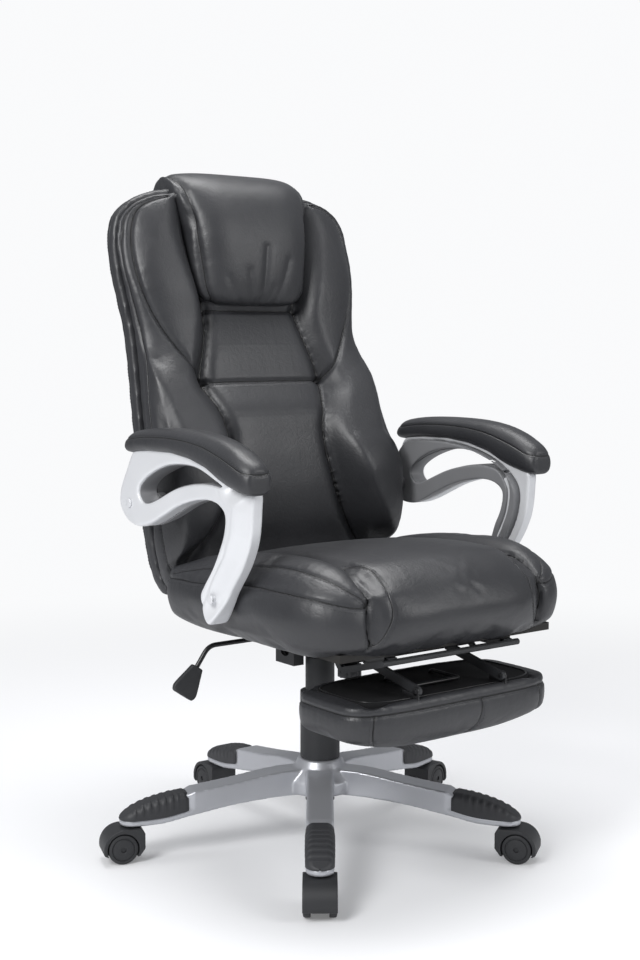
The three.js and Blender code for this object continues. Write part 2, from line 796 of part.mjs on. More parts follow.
const knobTop = springLow - gap;
const knobLow = knobTop - knobHeight;
const plateTop = plateUnderside + sheet;
const ribCount = 12;
const knobOutline = new THREE.Shape();
for (let i = 0; i < ribCount * 2; i += 1) {
  const angle = (Math.PI * i) / ribCount;
  const radius = i % 2 === 0 ? knobRadius : knobRadius * 0.9;
  const point = [radius * Math.cos(angle), radius * Math.sin(angle)];
  if (i === 0) knobOutline.moveTo(...point);
  else knobOutline.lineTo(...point);
}
knobOutline.closePath();
const knobGeometry = new THREE.ExtrudeGeometry(knobOutline, { depth: knobHeight, bevelEnabled: false });
const knob = toSolid(knobGeometry).translate([0, 0, knobLow])
  .add(rod(at(0, 0, knobLow), at(0, 0, plateUnderside - gap), boltRadius, boltRound));
place(chair, 'tension_knob', knob, darkPlastic).position.y = knobY;

// The lever: a nylon bushing in the tray wall, the bent rod and its paddle grip
const bushOuter = leverRodRadius * 2;
const bushBore = leverRodRadius * 1.35;
const bushInnerX = -trayHalfWidth + sheet * 4;
const bushOuterX = -trayHalfWidth - sheet * 3;
const leverBushing = rod(
  at(bushInnerX, leverY, leverZ),
  at(bushOuterX, leverY, leverZ),
  bushOuter,
  round,
).subtract(rod(
  at(bushInnerX + overrun, leverY, leverZ),
  at(bushOuterX - overrun, leverY, leverZ),
  bushBore,
  boltRound,
));
place(chair, 'lever_bushing', leverBushing, darkPlastic);
const rodInner = at(-socketRadius - leverRodRadius - overrun, leverY, leverZ);
const bendPoint = at(-leverBend, leverY, leverZ);
const gripTopPoint = at(-leverBend - leverSplay, leverY, leverZ - leverDrop);
const leverLine = new THREE.CurvePath();
const bendRadius = leverRodRadius * 3;
const dropWay = new THREE.Vector3().subVectors(gripTopPoint, bendPoint).normalize();
const bendStart = bendPoint.clone().add(at(bendRadius, 0, 0));
const bendEnd = bendPoint.clone().addScaledVector(dropWay, bendRadius);
const rodEnd = gripTopPoint.clone().addScaledVector(dropWay, gripLength / 3);
leverLine.add(new THREE.LineCurve3(rodInner, bendStart));
leverLine.add(new THREE.QuadraticBezierCurve3(bendStart, bendPoint, bendEnd));
leverLine.add(new THREE.LineCurve3(bendEnd, rodEnd));

// A round bar along a curve, from rings that stay square to it
function barAlong(points, radius, sides = 12) {
  const rings = points.map((point, i) => {
    const ahead = points[Math.min(i + 1, points.length - 1)];
    const behind = points[Math.max(i - 1, 0)];
    const tangent = new THREE.Vector3().subVectors(ahead, behind).normalize();
    const side = at(0, 1, 0);
    const up = new THREE.Vector3().crossVectors(side, tangent).normalize();
    const ring = [];
    for (let s = 0; s < sides; s += 1) {
      const angle = (2 * Math.PI * s) / sides;
      ring.push(point.clone()
        .addScaledVector(side, radius * Math.cos(angle))
        .addScaledVector(up, radius * Math.sin(angle)));
    }
    return ring;
  });
  return loft(rings);
}
const leverPoints = [rodInner, bendStart];
const bendCurve = leverLine.curves[1];
const bendSteps = 4;
for (let i = 1; i < bendSteps; i += 1) leverPoints.push(bendCurve.getPoint(i / bendSteps));
leverPoints.push(bendEnd, rodEnd);
const leverPivotX = (bushInnerX + bushOuterX) / 2;
const pivotCollar = rod(
  at(leverPivotX - leverRodRadius / 2, leverY, leverZ),
  at(leverPivotX + leverRodRadius / 2, leverY, leverZ),
  bushBore - gap,
  boltRound,
);
place(chair, 'lever_rod', barAlong(leverPoints, leverRodRadius).add(pivotCollar), blackSteel);

const gripEnd = gripTopPoint.clone().addScaledVector(dropWay, gripLength);
const gripSide = new THREE.Vector3().crossVectors(dropWay, at(0, 1, 0)).normalize();
const gripRowShares = [
  [0, gripTopWidth / gripWidth, 0.85], [0.25, 0.62, 1], [0.8, 1, 1], [0.94, 0.93, 0.9], [1, 0.7, 0.6],
];
const gripSections = gripRowShares.map(([share, widthShare, thickShare]) => {
  const centre = gripTopPoint.clone().lerp(gripEnd, share);
  const half = (gripWidth / 2) * widthShare;
  const thick = (gripThickness / 2) * thickShare;
  const corners = [
    [-1, -0.5], [-0.75, -1], [0.75, -1], [1, -0.5], [1, 0.5], [0.75, 1], [-0.75, 1], [-1, 0.5],
  ];
  return corners.map(([a, b]) => {
    const across = centre.clone().addScaledVector(gripSide, half * a);
    return across.add(at(0, thick * b, 0));
  });
});
const gripBore = rod(
  gripTopPoint.clone().addScaledVector(dropWay, -overrun),
  rodEnd.clone().addScaledVector(dropWay, gap),
  leverRodRadius + gap,
  round,
);
place(chair, 'lever_grip', loft(gripSections).subtract(gripBore), darkPlastic);

// The seat plate that the whole top is bolted to, with ears on the tilt shaft
const ear = new THREE.Shape([
  new THREE.Vector2(pivotY - earReach, plateTop),
  new THREE.Vector2(pivotY - earReach * 0.6, pivotZ - earReach * 0.5),
  new THREE.Vector2(pivotY + earReach * 0.6, pivotZ - earReach * 0.5),
  new THREE.Vector2(pivotY + earReach, plateTop),
]);
const shaftCut = rod(
  at(-earOuter - overrun, pivotY, pivotZ),
  at(earOuter + overrun, pivotY, pivotZ),
  pivotRadius + gap,
  round,
);
const seatPlate = box(
  at(-plateHalfWidth, plateFront, plateUnderside),
  at(plateHalfWidth, plateRear, plateTop),
)
  .add(extrudeAcross(ear, -earOuter, -earInner))
  .add(extrudeAcross(ear, earInner, earOuter))
  .subtract(shaftCut);
place(chair, 'seat_plate', seatPlate, blackSteel);

// The seat's inner frame: a plywood board with two side blocks that the armrests are bolted to
const boardLow = plateTop + gap;
const boardTop = boardLow + boardThickness;
const blockFront = frontBolt.y - railBlockHeight * 0.7;
const blockRear = frontBolt.y + railBlockHeight * 0.9;
const blockTop = boardLow + railBlockHeight;
// The board and its blocks, grown by a clearance and with the board let down to open below
function seatFrameBody(extra, below) {
  const board = box(
    at(-boardHalfWidth - extra, boardFront - extra, boardLow - below * seatUnderside),
    at(boardHalfWidth + extra, boardRear + extra, boardTop + extra),
  );
  const block = (side) => {
    const inner = side * (boardHalfWidth - railBlockWidth) - side * extra;
    const outer = side * (boardHalfWidth + extra);
    return box(
      at(Math.min(inner, outer), blockFront - extra, boardLow),
      at(Math.max(inner, outer), blockRear + extra, blockTop + extra),
    );
  };
  return board.add(block(1)).add(block(-1));
}
function boltHole(bolt, side) {
  return rod(
    at(side * (boardHalfWidth - railBlockWidth - overrun), bolt.y, bolt.z),
    at(side * (armOuter + overrun), bolt.y, bolt.z),
    armBoltRadius + gap,
    boltRound,
  );
}
const boardSolid = seatFrameBody(0, 0);
const seatFrame = boardSolid.subtract(boltHole(frontBolt, 1)).subtract(boltHole(frontBolt, -1));
place(chair, 'seat_frame', seatFrame, plywood);

// The seat cushion: a sunk centre panel between two raised side bolsters, crowned all round
const seatMiddleY = (seatFront + seatRear) / 2;
const seatHalfDepth = (seatRear - seatFront) / 2;
const seatFrontCorner = 4.6;
const seatRearCorner = 9;
const seatPeakY = seatMiddleY - seatHalfDepth * 0.47;
const bolsterFall = seatHalfWidth * 0.1;
const panelFall = seatHalfWidth * 0.085;
const seatEdgeLift = 24;
function seatPlan(u, v) {
  const [a, b] = roundedSquare(u, v, v > 0 ? seatRearCorner : seatFrontCorner);
  return [seatHalfWidth * a, seatMiddleY + seatHalfDepth * b];
}
function seatCrown(x, y) {
  const back = (y - seatPeakY) / seatHalfDepth;
  const bolster = seatBolsterHeight - bolsterFall * back * back;
  const panel = seatPanelHeight - panelFall * Math.max(back, 0) * back;
  const side = Math.abs(x);
  const rise = smooth(seatPanelHalf, seatPanelHalf * 1.3, side);
  const dip = Math.exp(-(((side - seatPanelHalf) / (seatPanelHalf * 0.07)) ** 2));
  const crown = (1 - (side / seatPanelHalf) ** 2) * seatGroove * 0.5;
  return panel * (1 - rise) + bolster * rise - seatGroove * dip + Math.max(crown, 0) * (1 - rise);
}
function seatTop(u, v) {
  const [x, y] = seatPlan(u, v);
  const most = Math.max(Math.abs(u), Math.abs(v));
  const hold = 1 - most ** 7;
  return at(x, y, seatEdgeHeight + (seatCrown(x, y) - seatEdgeHeight) * hold);
}
function seatBottom(u, v) {
  const [x, y] = seatPlan(u, v);
  const most = Math.max(Math.abs(u), Math.abs(v));
  return at(x, y, seatUnderside + seatEdgeLift * most ** 8);
}
const seatColumns = [0, 0.3, 0.5, 0.57, 0.608, 0.65, 0.74, 0.86, 1];
const mirroredShares = (shares) => [...shares.slice(1).reverse().map((share) => -share), ...shares];
const seatCushionFull = seatBody(0);
// The same body a clearance larger all round, for cutting what rests on the seat
function seatBody(extra) {
  const middle = at(0, seatMiddleY, (seatUnderside + seatEdgeHeight) / 2);
  const spread = (point) => {
    const away = new THREE.Vector3().subVectors(point, middle);
    return at(
      point.x * (1 + extra / seatHalfWidth),
      middle.y + away.y * (1 + extra / seatHalfDepth),
      point.z + Math.sign(away.z) * extra,
    );
  };
  return padded({
    us: mirroredShares(seatColumns),
    vs: [-1, -0.93, -0.82, -0.64, -0.4, -0.1, 0.2, 0.5, 0.76, 0.9, 1],
    front: (u, v) => spread(seatTop(u, v)),
    back: (u, v) => spread(seatBottom(u, v)),
    rows: 3,
    bulge: 9,
  });
}
const seatCushion = seatCushionFull.subtract(seatFrameBody(runningGap, runningGap))
  .subtract(boltHole(frontBolt, 1)).subtract(boltHole(frontBolt, -1));
place(chair, 'seat_cushion', seatCushion, blackLeather);

// The back: a rear shell and a front cushion that meet on one curved face
const backHeight = backTop - backFoot;
const rearShares = [
  [0, 0.02], [0.06, 0.17], [0.173, 0.31], [0.423, 0.54],
  [0.638, 0.75], [0.824, 0.97], [0.912, 1.02], [1, 0.93],
];
const halfWidthShares = [[0, 0.88], [0.15, 0.93], [0.432, 0.94], [0.628, 0.945], [0.804, 1], [1, 1]];
const panelFrontShares = [
  [0, 1.1], [0.109, 1.5], [0.178, 2.05], [0.251, 2.37], [0.315, 2.45], [0.374, 2.43], [0.447, 2.3],
  [0.518, 1.56], [0.609, 1.2], [0.694, 0.91], [0.804, 0.95], [0.902, 1], [1, 0.9],
];
const bolsterFrontShares = [
  [0, 2.3], [0.07, 2.8], [0.112, 3.25], [0.156, 3.76], [0.199, 4.09], [0.252, 4.23], [0.303, 4.3],
  [0.354, 3.99], [0.396, 3.47], [0.448, 2.99], [0.499, 2.55], [0.56, 1.95], [0.609, 1.65],
  [0.667, 1.55], [0.746, 1.7], [0.804, 1.65], [0.902, 1.35], [1, 0.9],
];
const panelHalfShares = [
  [0, 0.8], [0.08, 0.76], [0.16, 0.6], [0.21, 0.53], [0.28, 0.46], [0.34, 0.42], [0.4, 0.41],
  [0.467, 0.46], [0.518, 0.51], [0.62, 0.43], [0.694, 0.39], [0.82, 0.46], [1, 0.56],
];
const backGroove = 10;
const endDrop = 0.35;
const edgeDropShare = (share) => 0.08 + 0.54 * smooth(0.53, 0.648, share);
const capHeight = backTop - backShoulder;
function backTopAt(u) {
  return backShoulder + capHeight * (1 - Math.abs(u) ** 3.5) ** 0.4;
}
function backPlan(u, v) {
  const footLift = backHeight * 0.045 * (1 - (1 - Math.abs(u) ** 6) ** (1 / 6));
  const low = backFoot + footLift;
  const z = low + (backTopAt(u) - low) * v;
  const share = (z - backFoot) / backHeight;
  return { x: backHalfWidth * readTable(halfWidthShares, share) * u, z, share };
}
const shellEdge = shellThickness * 0.36;
const rearFace = (share) => backRearFoot + backLean * readTable(rearShares, share);
function backRear(u, v) {
  const { x, z, share } = backPlan(u, v);
  const most = Math.max(Math.abs(u), Math.abs(2 * v - 1));
  return at(x, rearFace(share) - shellEdge * most ** 9, z);
}
function backMeeting(offset) {
  return (u, v) => {
    const { x, z, share } = backPlan(u, v);
    return at(x, rearFace(share) - shellThickness + offset, z);
  };
}
function backFront(u, v) {
  const { x, z, share } = backPlan(u, v);
  const panelHalf = backHalfWidth * readTable(panelHalfShares, share);
  const side = Math.abs(x);
  const rise = smooth(panelHalf, panelHalf * 1.35, side);
  const panel = readTable(panelFrontShares, share);
  const bolster = readTable(bolsterFrontShares, share);
  const dip = backGroove * Math.exp(-(((side - panelHalf) / (panelHalf * 0.09)) ** 2));
  const depth = boxingDepth * (panel * (1 - rise) + bolster * rise) - dip;
  const edge = edgeDropShare(share) * Math.abs(u) ** 7;
  const end = endDrop * Math.abs(2 * v - 1) ** 16;
  return at(x, rearFace(share) - shellThickness - depth * (1 - edge) * (1 - end), z);
}
const backColumns = [0, 0.25, 0.4, 0.47, 0.54, 0.64, 0.8, 0.93, 1];
const backLines = [0, 0.03, 0.1, 0.18, 0.26, 0.34, 0.43, 0.5, 0.58, 0.67, 0.76, 0.86, 0.95, 1];
const shellFull = padded({
  us: mirroredShares(backColumns),
  vs: backLines,
  front: backMeeting(gap / 2),
  back: backRear,
  rows: 1,
  bulge: 2,
});
const cushionFull = padded({
  us: mirroredShares(backColumns),
  vs: backLines,
  front: backFront,
  back: backMeeting(-gap / 2),
  rows: 2,
  bulge: 3,
});
// The whole back a clearance larger, for cutting the pillow that hangs over it
const backWhole = padded({
  us: mirroredShares(backColumns),
  vs: backLines,
  front: (u, v) => backFront(u, v).add(at(0, -runningGap, runningGap * v)),
  back: (u, v) => backRear(u, v).add(at(0, runningGap, runningGap * v)),
  rows: 1,
  bulge: 3,
});
const lugX = backHalfWidth * 0.86;
const lugThickness = 8;
const lugHalf = 21;
function backLug(side, extra) {
  const inner = side * (lugX - lugThickness - extra);
  const outer = side * (lugX + extra);
  return box(
    at(Math.min(inner, outer), rearBolt.y - lugHalf * 0.7 - extra, rearBolt.z - lugHalf - extra),
    at(Math.max(inner, outer), rearBolt.y + lugHalf * 3.4, rearBolt.z + lugHalf + extra),
  );
}
function lugBodies(extra) {
  return backLug(1, extra).add(backLug(-1, extra));
}
function rearHole(side) {
  return rod(
    at(side * (lugX - lugThickness - overrun), rearBolt.y, rearBolt.z),
    at(side * (armOuter + overrun), rearBolt.y, rearBolt.z),
    armBoltRadius + gap,
    boltRound,
  );
}
const lugs = lugBodies(0);
const rearHoles = rearHole(1).add(rearHole(-1));
const backShell = shellFull.add(lugs).subtract(rearHoles);
place(chair, 'back_shell', backShell, blackLeather);
const backCushion = cushionFull.subtract(lugBodies(runningGap)).subtract(rearHoles)
  .subtract(seatBody(runningGap));
place(chair, 'back_cushion', backCushion, blackLeather);

// The headrest pillow: a saddle over the top of the back
const pillowHeight = pillowTop - pillowFoot;
const pillowFront = 170;
const pillowDepth = 160;
const pillowInset = 44;
const pillowCore = 66;
const pillowRowShares = [
  [0, 0.175, 0.008, 0.69, 0.5], [0.07, 0.062, 0.033, 0.7, 0.5], [0.15, 0.012, 0.142, 0.79, 0.55],
  [0.27, 0, 0.351, 0.84, 0.58], [0.39, 0.025, 0.561, 0.88, 0.55], [0.52, 0.12, 0.762, 0.91, 0.45],
  [0.64, 0.262, 0.904, 0.97, 0.32], [0.74, 0.456, 0.979, 1, 0.24], [0.83, 0.688, 1, 1, 0.1],
  [0.91, 0.888, 0.962, 0.98, 0.06], [0.965, 1, 0.854, 0.97, 0.06], [1, 0.969, 0.753, 0.96, 0.1],
];
function pillowInner(u, v) {
  const width = pillowHalfWidth * readTable(pillowRowShares, v, 3);
  const height = 0.03 + 0.7 * smooth(0, 0.85, v);
  const y = pillowFront + pillowInset + pillowCore * height;
  return at(width * u, y, pillowFoot + pillowHeight * height);
}
function pillowOuter(u, v) {
  const width = pillowHalfWidth * readTable(pillowRowShares, v, 3);
  const y = pillowFront + pillowDepth * readTable(pillowRowShares, v, 1);
  const z = pillowFoot + pillowHeight * readTable(pillowRowShares, v, 2);
  const soften = readTable(pillowRowShares, v, 4) * Math.abs(u) ** 5;
  return at(width * u, y, z).lerp(pillowInner(u, v), soften);
}
const pillowFull = padded({
  us: [-1, -0.9, -0.7, -0.35, 0, 0.35, 0.7, 0.9, 1],
  vs: pillowRowShares.map((row) => row[0]),
  front: pillowOuter,
  back: pillowInner,
  rows: 1,
  bulge: 3,
});
const backRaised = cushionFull.add(shellFull).translate([0, 0, runningGap]);
place(chair, 'headrest_pillow', pillowFull.subtract(backWhole).subtract(backRaised), blackLeather);

// The steel bracket that joins the seat plate to the foot of the back
const strapHalf = 32;
const strapThickness = 4;
const strapZ = boardLow - gap - strapThickness;
const strapBow = 5;
const strapShares = [0.07, 0.12, 0.178, 0.25];
const topShare = strapShares[strapShares.length - 1];
const strapRise = strapShares.map((share) => [
  rearFace(share) + gap + strapThickness + strapBow * (topShare - share),
  backFoot + backHeight * share,
]);
const strapCorner = rearFace(0.02) + strapThickness * 3;
const strapShape = new THREE.Shape();
strapShape.moveTo(plateRear + gap, strapZ);
strapShape.lineTo(strapCorner + strapThickness, strapZ);
strapRise.forEach(([y, z]) => strapShape.lineTo(y + strapThickness, z));
[...strapRise].reverse().forEach(([y, z]) => strapShape.lineTo(y, z));
strapShape.lineTo(strapCorner, strapZ + strapThickness);
strapShape.lineTo(plateRear + gap, strapZ + strapThickness);
strapShape.closePath();
const strap = extrudeAcross(strapShape, -strapHalf, strapHalf);
place(chair, 'back_bracket', strap.subtract(backWhole), blackSteel);

// An armrest: an open looped frame, an inner cover, a leather pad and two capped bolts
const armShape = (shares) => shares.map(armPlace).map(({ y, z }) => new THREE.Vector2(y, z));
const frameTopShares = [
  [0.13, 0.996], [0.264, 1.02], [0.445, 1.024], [0.6, 1],
  [0.735, 0.953], [0.832, 0.89], [0.9, 0.859], [0.997, 0.828],
];
const frameFrontShares = [[1, 0.7], [0.983, 0.535], [0.928, 0.374], [0.833, 0.2], [0.765, 0.04]];
const frameLegShares = [
  [0.734, 0], [0.7, 0.03], [0.682, 0.1], [0.673, 0.173], [0.695, 0.224], [0.764, 0.343], [0.813, 0.453],
  [0.854, 0.575], [0.86, 0.677], [0.816, 0.728], [0.733, 0.748], [0.615, 0.728], [0.495, 0.681],
  [0.385, 0.614], [0.275, 0.547], [0.198, 0.516], [0.12, 0.516], [0.055, 0.551], [0.003, 0.63],
  [0.006, 0.728], [0.06, 0.862],
];
const slotShares = [
  [0.165, 0.72], [0.17, 0.764], [0.242, 0.839], [0.39, 0.917], [0.514, 0.94], [0.635, 0.935],
  [0.75, 0.89], [0.84, 0.835], [0.733, 0.842], [0.615, 0.83], [0.478, 0.787],
  [0.313, 0.697], [0.247, 0.669], [0.2, 0.669],
];
function closedSpline(shares, divisions) {
  const points = armShape(shares).map((point) => new THREE.Vector3(point.x, point.y, 0));
  const curve = new THREE.CatmullRomCurve3(points, true, 'centripetal');
  return curve.getPoints(divisions).slice(0, -1).map((point) => new THREE.Vector2(point.x, point.y));
}
const frameShares = [...frameTopShares, ...frameFrontShares, ...frameLegShares];
const frameOutline = new THREE.Shape(closedSpline(frameShares, 42));
const slotOutline = new THREE.Shape(closedSpline(slotShares, 18));

function armSolid(side) {
  const from = side > 0 ? armCoverFace : -armOuter;
  const to = side > 0 ? armOuter : -armCoverFace;
  const holes = boltThrough(frontBolt, side).add(boltThrough(rearBolt, side)).add(slotThrough(side));
  return extrudeAcross(frameOutline, from, to, armBevel).subtract(holes);
}
function slotThrough(side) {
  const near = side * (armInner - overrun);
  const far = side * (armOuter + overrun);
  return extrudeAcross(slotOutline, Math.min(near, far), Math.max(near, far));
}
function boltThrough(bolt, side) {
  return rod(
    at(side * (armInner * 0.7), bolt.y, bolt.z),
    at(side * (armOuter + overrun), bolt.y, bolt.z),
    armBoltRadius + gap,
    boltRound,
  );
}
function coverSolid(side) {
  const from = side > 0 ? armInner : -armCoverFace + gap;
  const to = side > 0 ? armCoverFace - gap : -armInner;
  const plate = extrudeAcross(frameOutline, from, to).subtract(slotThrough(side));
  const boss = (bolt, reach) => rod(
    at(side * (armInner + overrun), bolt.y, bolt.z),
    at(side * reach, bolt.y, bolt.z),
    bossRadius,
    boltRound,
  );
  return plate
    .add(boss(rearBolt, lugX))
    .add(boss(frontBolt, boardHalfWidth))
    .subtract(boltThrough(frontBolt, side))
    .subtract(boltThrough(rearBolt, side));
}
const cushionsWhole = seatCushionFull.add(cushionFull).add(boardSolid).add(lugs);
const cushionsClear = cushionsWhole.add(seatBody(runningGap)).add(backWhole);

const padRowShares = [
  [0, 0.5, 0.7, 0.24], [0.03, 0.78, 0.86, 0.12], [0.1, 0.95, 0.95, 0.03], [0.22, 1, 0.985, 0],
  [0.4, 1, 1, 0], [0.6, 1, 0.985, 0], [0.75, 1, 0.93, 0], [0.86, 1, 0.84, 0],
  [0.93, 0.94, 0.73, 0], [0.975, 0.74, 0.62, 0.05], [1, 0.45, 0.5, 0.16],
];
const padWrap = 6;
const padTopHeight = 723;
const padCrownFall = 123;
const frameTopLine = armShape(frameTopShares).map((point) => [point.x, point.y]).reverse();
function frameTopAt(y) {
  const clamped = Math.min(Math.max(y, frameTopLine[0][0]), frameTopLine[frameTopLine.length - 1][0]);
  return readTable(frameTopLine, clamped);
}
const armPadX = (armOuter + armInner) / 2;
function armPadSolid(side) {
  const sections = padRowShares.map(([share, widthShare, crownShare, liftShare]) => {
    const y = armPadRear - armPadLength * share;
    const half = (armPadWidth / 2) * widthShare;
    const top = padTopHeight - padCrownFall * (1 - crownShare);
    const floor = frameTopAt(y) - padWrap;
    const low = floor + (top - floor) * liftShare;
    const corners = [
      [-0.8, 0], [0.8, 0], [0.98, 0.16], [1, 0.5], [0.86, 0.83], [0.5, 0.98], [0, 1], [-0.5, 0.98],
      [-0.86, 0.83], [-1, 0.5], [-0.98, 0.16],
    ];
    return corners.map(([a, b]) => at(side * armPadX + half * a, y, low + (top - low) * b));
  });
  return loft(sections);
}
function boltSolid(bolt, side, reach) {
  const cap = rod(
    at(side * (armOuter + gap), bolt.y, bolt.z),
    at(side * (armOuter + gap + armCapHeight), bolt.y, bolt.z),
    armCapRadius,
    boltRound,
  );
  const shank = rod(
    at(side * reach, bolt.y, bolt.z),
    at(side * (armOuter + gap + armCapHeight / 2), bolt.y, bolt.z),
    armBoltRadius,
    boltRound,
  );
  return cap.add(shank);
}
const armCoreHalf = (armOuter - armInner) / 2 + gap;
const arms = [['right', -1], ['left', 1]];
arms.forEach(([label, side]) => {
  const core = extrudeAcross(
    frameOutline,
    side * armPadX - armCoreHalf,
    side * armPadX + armCoreHalf,
  );
  const padPocket = core.add(core.translate([0, 0, gap])).add(core.translate([0, -gap, gap]));
  place(chair, `arm_frame_${label}`, armSolid(side), armSilver);
  place(chair, `arm_cover_${label}`, coverSolid(side).subtract(cushionsClear), greyPlastic);
  place(chair, `arm_pad_${label}`, armPadSolid(side).subtract(padPocket), blackLeather);
  place(chair, `rear_bolt_${label}`, boltSolid(rearBolt, side, lugX - lugThickness), armSilver);
  const frontReach = boardHalfWidth - railBlockWidth * 0.6;
  place(chair, `front_bolt_${label}`, boltSolid(frontBolt, side, frontReach), armSilver);
});

// The footrest's guide rails under the seat, open below along a slot and at the front
const railTop = boardLow - gap;
const railLow = railTop - railHeight;
function railSolid(side) {
  const centre = side * railX;
  const outer = box(
    at(centre - railWidth / 2, railFront, railLow),
    at(centre + railWidth / 2, railRear, railTop),
  );
  const inner = box(
    at(centre - railWidth / 2 + railWall, railFront - overrun, railLow + railWall),
    at(centre + railWidth / 2 - railWall, railRear - railWall, railTop - railWall),
  );
  const slot = box(
    at(centre - railSlot / 2, railFront - overrun, railLow - overrun),
    at(centre + railSlot / 2, railRear - railWall, railLow + railWall + overrun),
  );
  return outer.subtract(inner).subtract(slot);
}
arms.forEach(([label, side]) => place(chair, `footrest_rail_${label}`, railSolid(side), blackSteel));

// The sliding frame: two bars in the rails, two crossbars, the sloping arms and the braces
const slideHalf = railWidth / 2 - railWall - slideGap;
const slideLow = railLow + railWall + slideGap;
const slideTop = railTop - railWall - slideGap;
const slideRear = railRear - railWall - slideGap;
const postHalf = railSlot / 2 - slideGap;
const armBarWidth = 14;
const armBarThickness = 5;
function flatBar(from, to, width, x, thickness) {
  const along = new THREE.Vector2(to.y - from.y, to.z - from.z);
  const normal = new THREE.Vector2(-along.y, along.x).normalize().multiplyScalar(width / 2);
  const shape = new THREE.Shape([
    new THREE.Vector2(from.y - normal.x, from.z - normal.y),
    new THREE.Vector2(to.y - normal.x, to.z - normal.y),
    new THREE.Vector2(to.y + normal.x, to.z + normal.y),
    new THREE.Vector2(from.y + normal.x, from.z + normal.y),
  ]);
  const bar = extrudeAcross(shape, x - thickness / 2, x + thickness / 2);
  const [near, far] = [x - thickness / 2, x + thickness / 2];
  const end = rod(at(near, to.y, to.z), at(far, to.y, to.z), width / 2, boltRound);
  return bar.add(end);
}
const hinge = { y: footrestHingeY, z: footrestHingeZ };
const crossbar = { y: crossbarY, z: crossbarZ };
const frontBar = { y: frontBarY, z: frontBarZ };
const braceFoot = { y: crossbarY - braceWidth, z: crossbarZ - braceWidth };
const hingePin = 4;
function slideSide(side) {
  const centre = side * railX;
  const bar = box(at(centre - slideHalf, frontBarY, slideLow), at(centre + slideHalf, slideRear, slideTop));
  const post = box(
    at(centre - postHalf, crossbarY - crossbarRadius, crossbarZ),
    at(centre + postHalf, crossbarY + crossbarRadius, slideLow + overrun),
  );
  const slopingArm = flatBar(crossbar, hinge, armBarWidth, side * footrestArmX, armBarThickness)
    .subtract(rod(
      at(side * footrestArmX - armBarThickness, hinge.y, hinge.z),
      at(side * footrestArmX + armBarThickness, hinge.y, hinge.z),
      hingePin + gap,
      boltRound,
    ));
  const brace = flatBar(braceFoot, frontBar, braceWidth, side * braceX, armBarThickness);
  const lug = flatBar(braceFoot, crossbar, braceWidth, side * braceX, armBarThickness);
  return bar.add(post).add(slopingArm).add(brace).add(lug);
}
const crossTube = (point, radius) => rod(
  at(-braceX, point.y, point.z),
  at(braceX, point.y, point.z),
  radius,
  boltRound,
);
const carriage = slideSide(1).add(slideSide(-1))
  .add(crossTube(crossbar, crossbarRadius))
  .add(crossTube(frontBar, crossbarRadius));
place(chair, 'footrest_carriage', carriage, blackSteel);

// The footrest: a lined board with hinge ears, and the leather pad that hangs below it when stowed
const footMiddleY = (footrestFront + footrestRear) / 2;
const footHalfDepth = (footrestRear - footrestFront) / 2;
const footBoardThickness = 9;
const footBoardInset = 13;
const footBoardTop = footrestLining - gap;
const footBoardLow = footBoardTop - footBoardThickness;
const footBoard = box(
  at(-footrestHalfWidth + footBoardInset * 2, footrestFront + footBoardInset, footBoardLow),
  at(footrestHalfWidth - footBoardInset * 2, footrestRear - footBoardInset, footBoardTop),
);
const earX = footrestArmX + armBarThickness / 2 + gap;
const footEarThickness = 3;
const footEarLength = 30;
const footEarHalf = 7;
function hingeEar(side) {
  const inner = side * earX;
  const outer = side * (earX + footEarThickness);
  const plate = box(
    at(Math.min(inner, outer), footrestHingeY - footEarHalf, footBoardLow),
    at(Math.max(inner, outer), footrestHingeY + footEarLength, footBoardTop + footEarHalf),
  );
  const knuckle = rod(
    at(inner, hinge.y, hinge.z),
    at(outer, hinge.y, hinge.z),
    footEarHalf,
    boltRound,
  );
  const pin = rod(
    at(side * (footrestArmX - armBarThickness / 2 - footEarThickness / 2), hinge.y, hinge.z),
    at(outer, hinge.y, hinge.z),
    hingePin,
    boltRound,
  );
  return plate.add(knuckle).add(pin);
}
function earRecess(side) {
  const inner = side * (earX - runningGap);
  const outer = side * (earX + footEarThickness + runningGap);
  return box(
    at(Math.min(inner, outer), footrestFront - overrun * 2, footBoardLow - runningGap),
    at(Math.max(inner, outer), footrestFront + footBoardInset + overrun, seatUnderside),
  );
}
const wireRadius = 3;
const wireZ = footBoardTop + wireRadius * 0.8;
const wireFront = footMiddleY - footHalfDepth * 0.3;
const wireRear = footMiddleY + footHalfDepth * 0.45;
const wireHalf = footrestArmX * 0.55;
const wire = [
  [at(-wireHalf, wireRear, wireZ), at(-wireHalf, wireFront, wireZ)],
  [at(-wireHalf, wireFront, wireZ), at(wireHalf, wireFront, wireZ)],
  [at(wireHalf, wireFront, wireZ), at(wireHalf, wireRear, wireZ)],
].map(([from, to]) => rod(from, to, wireRadius, boltRound)).reduce((sum, next) => sum.add(next));
const footBoardSolid = footBoard.add(hingeEar(1)).add(hingeEar(-1)).add(wire);
place(chair, 'footrest_board', footBoardSolid, blackLining);

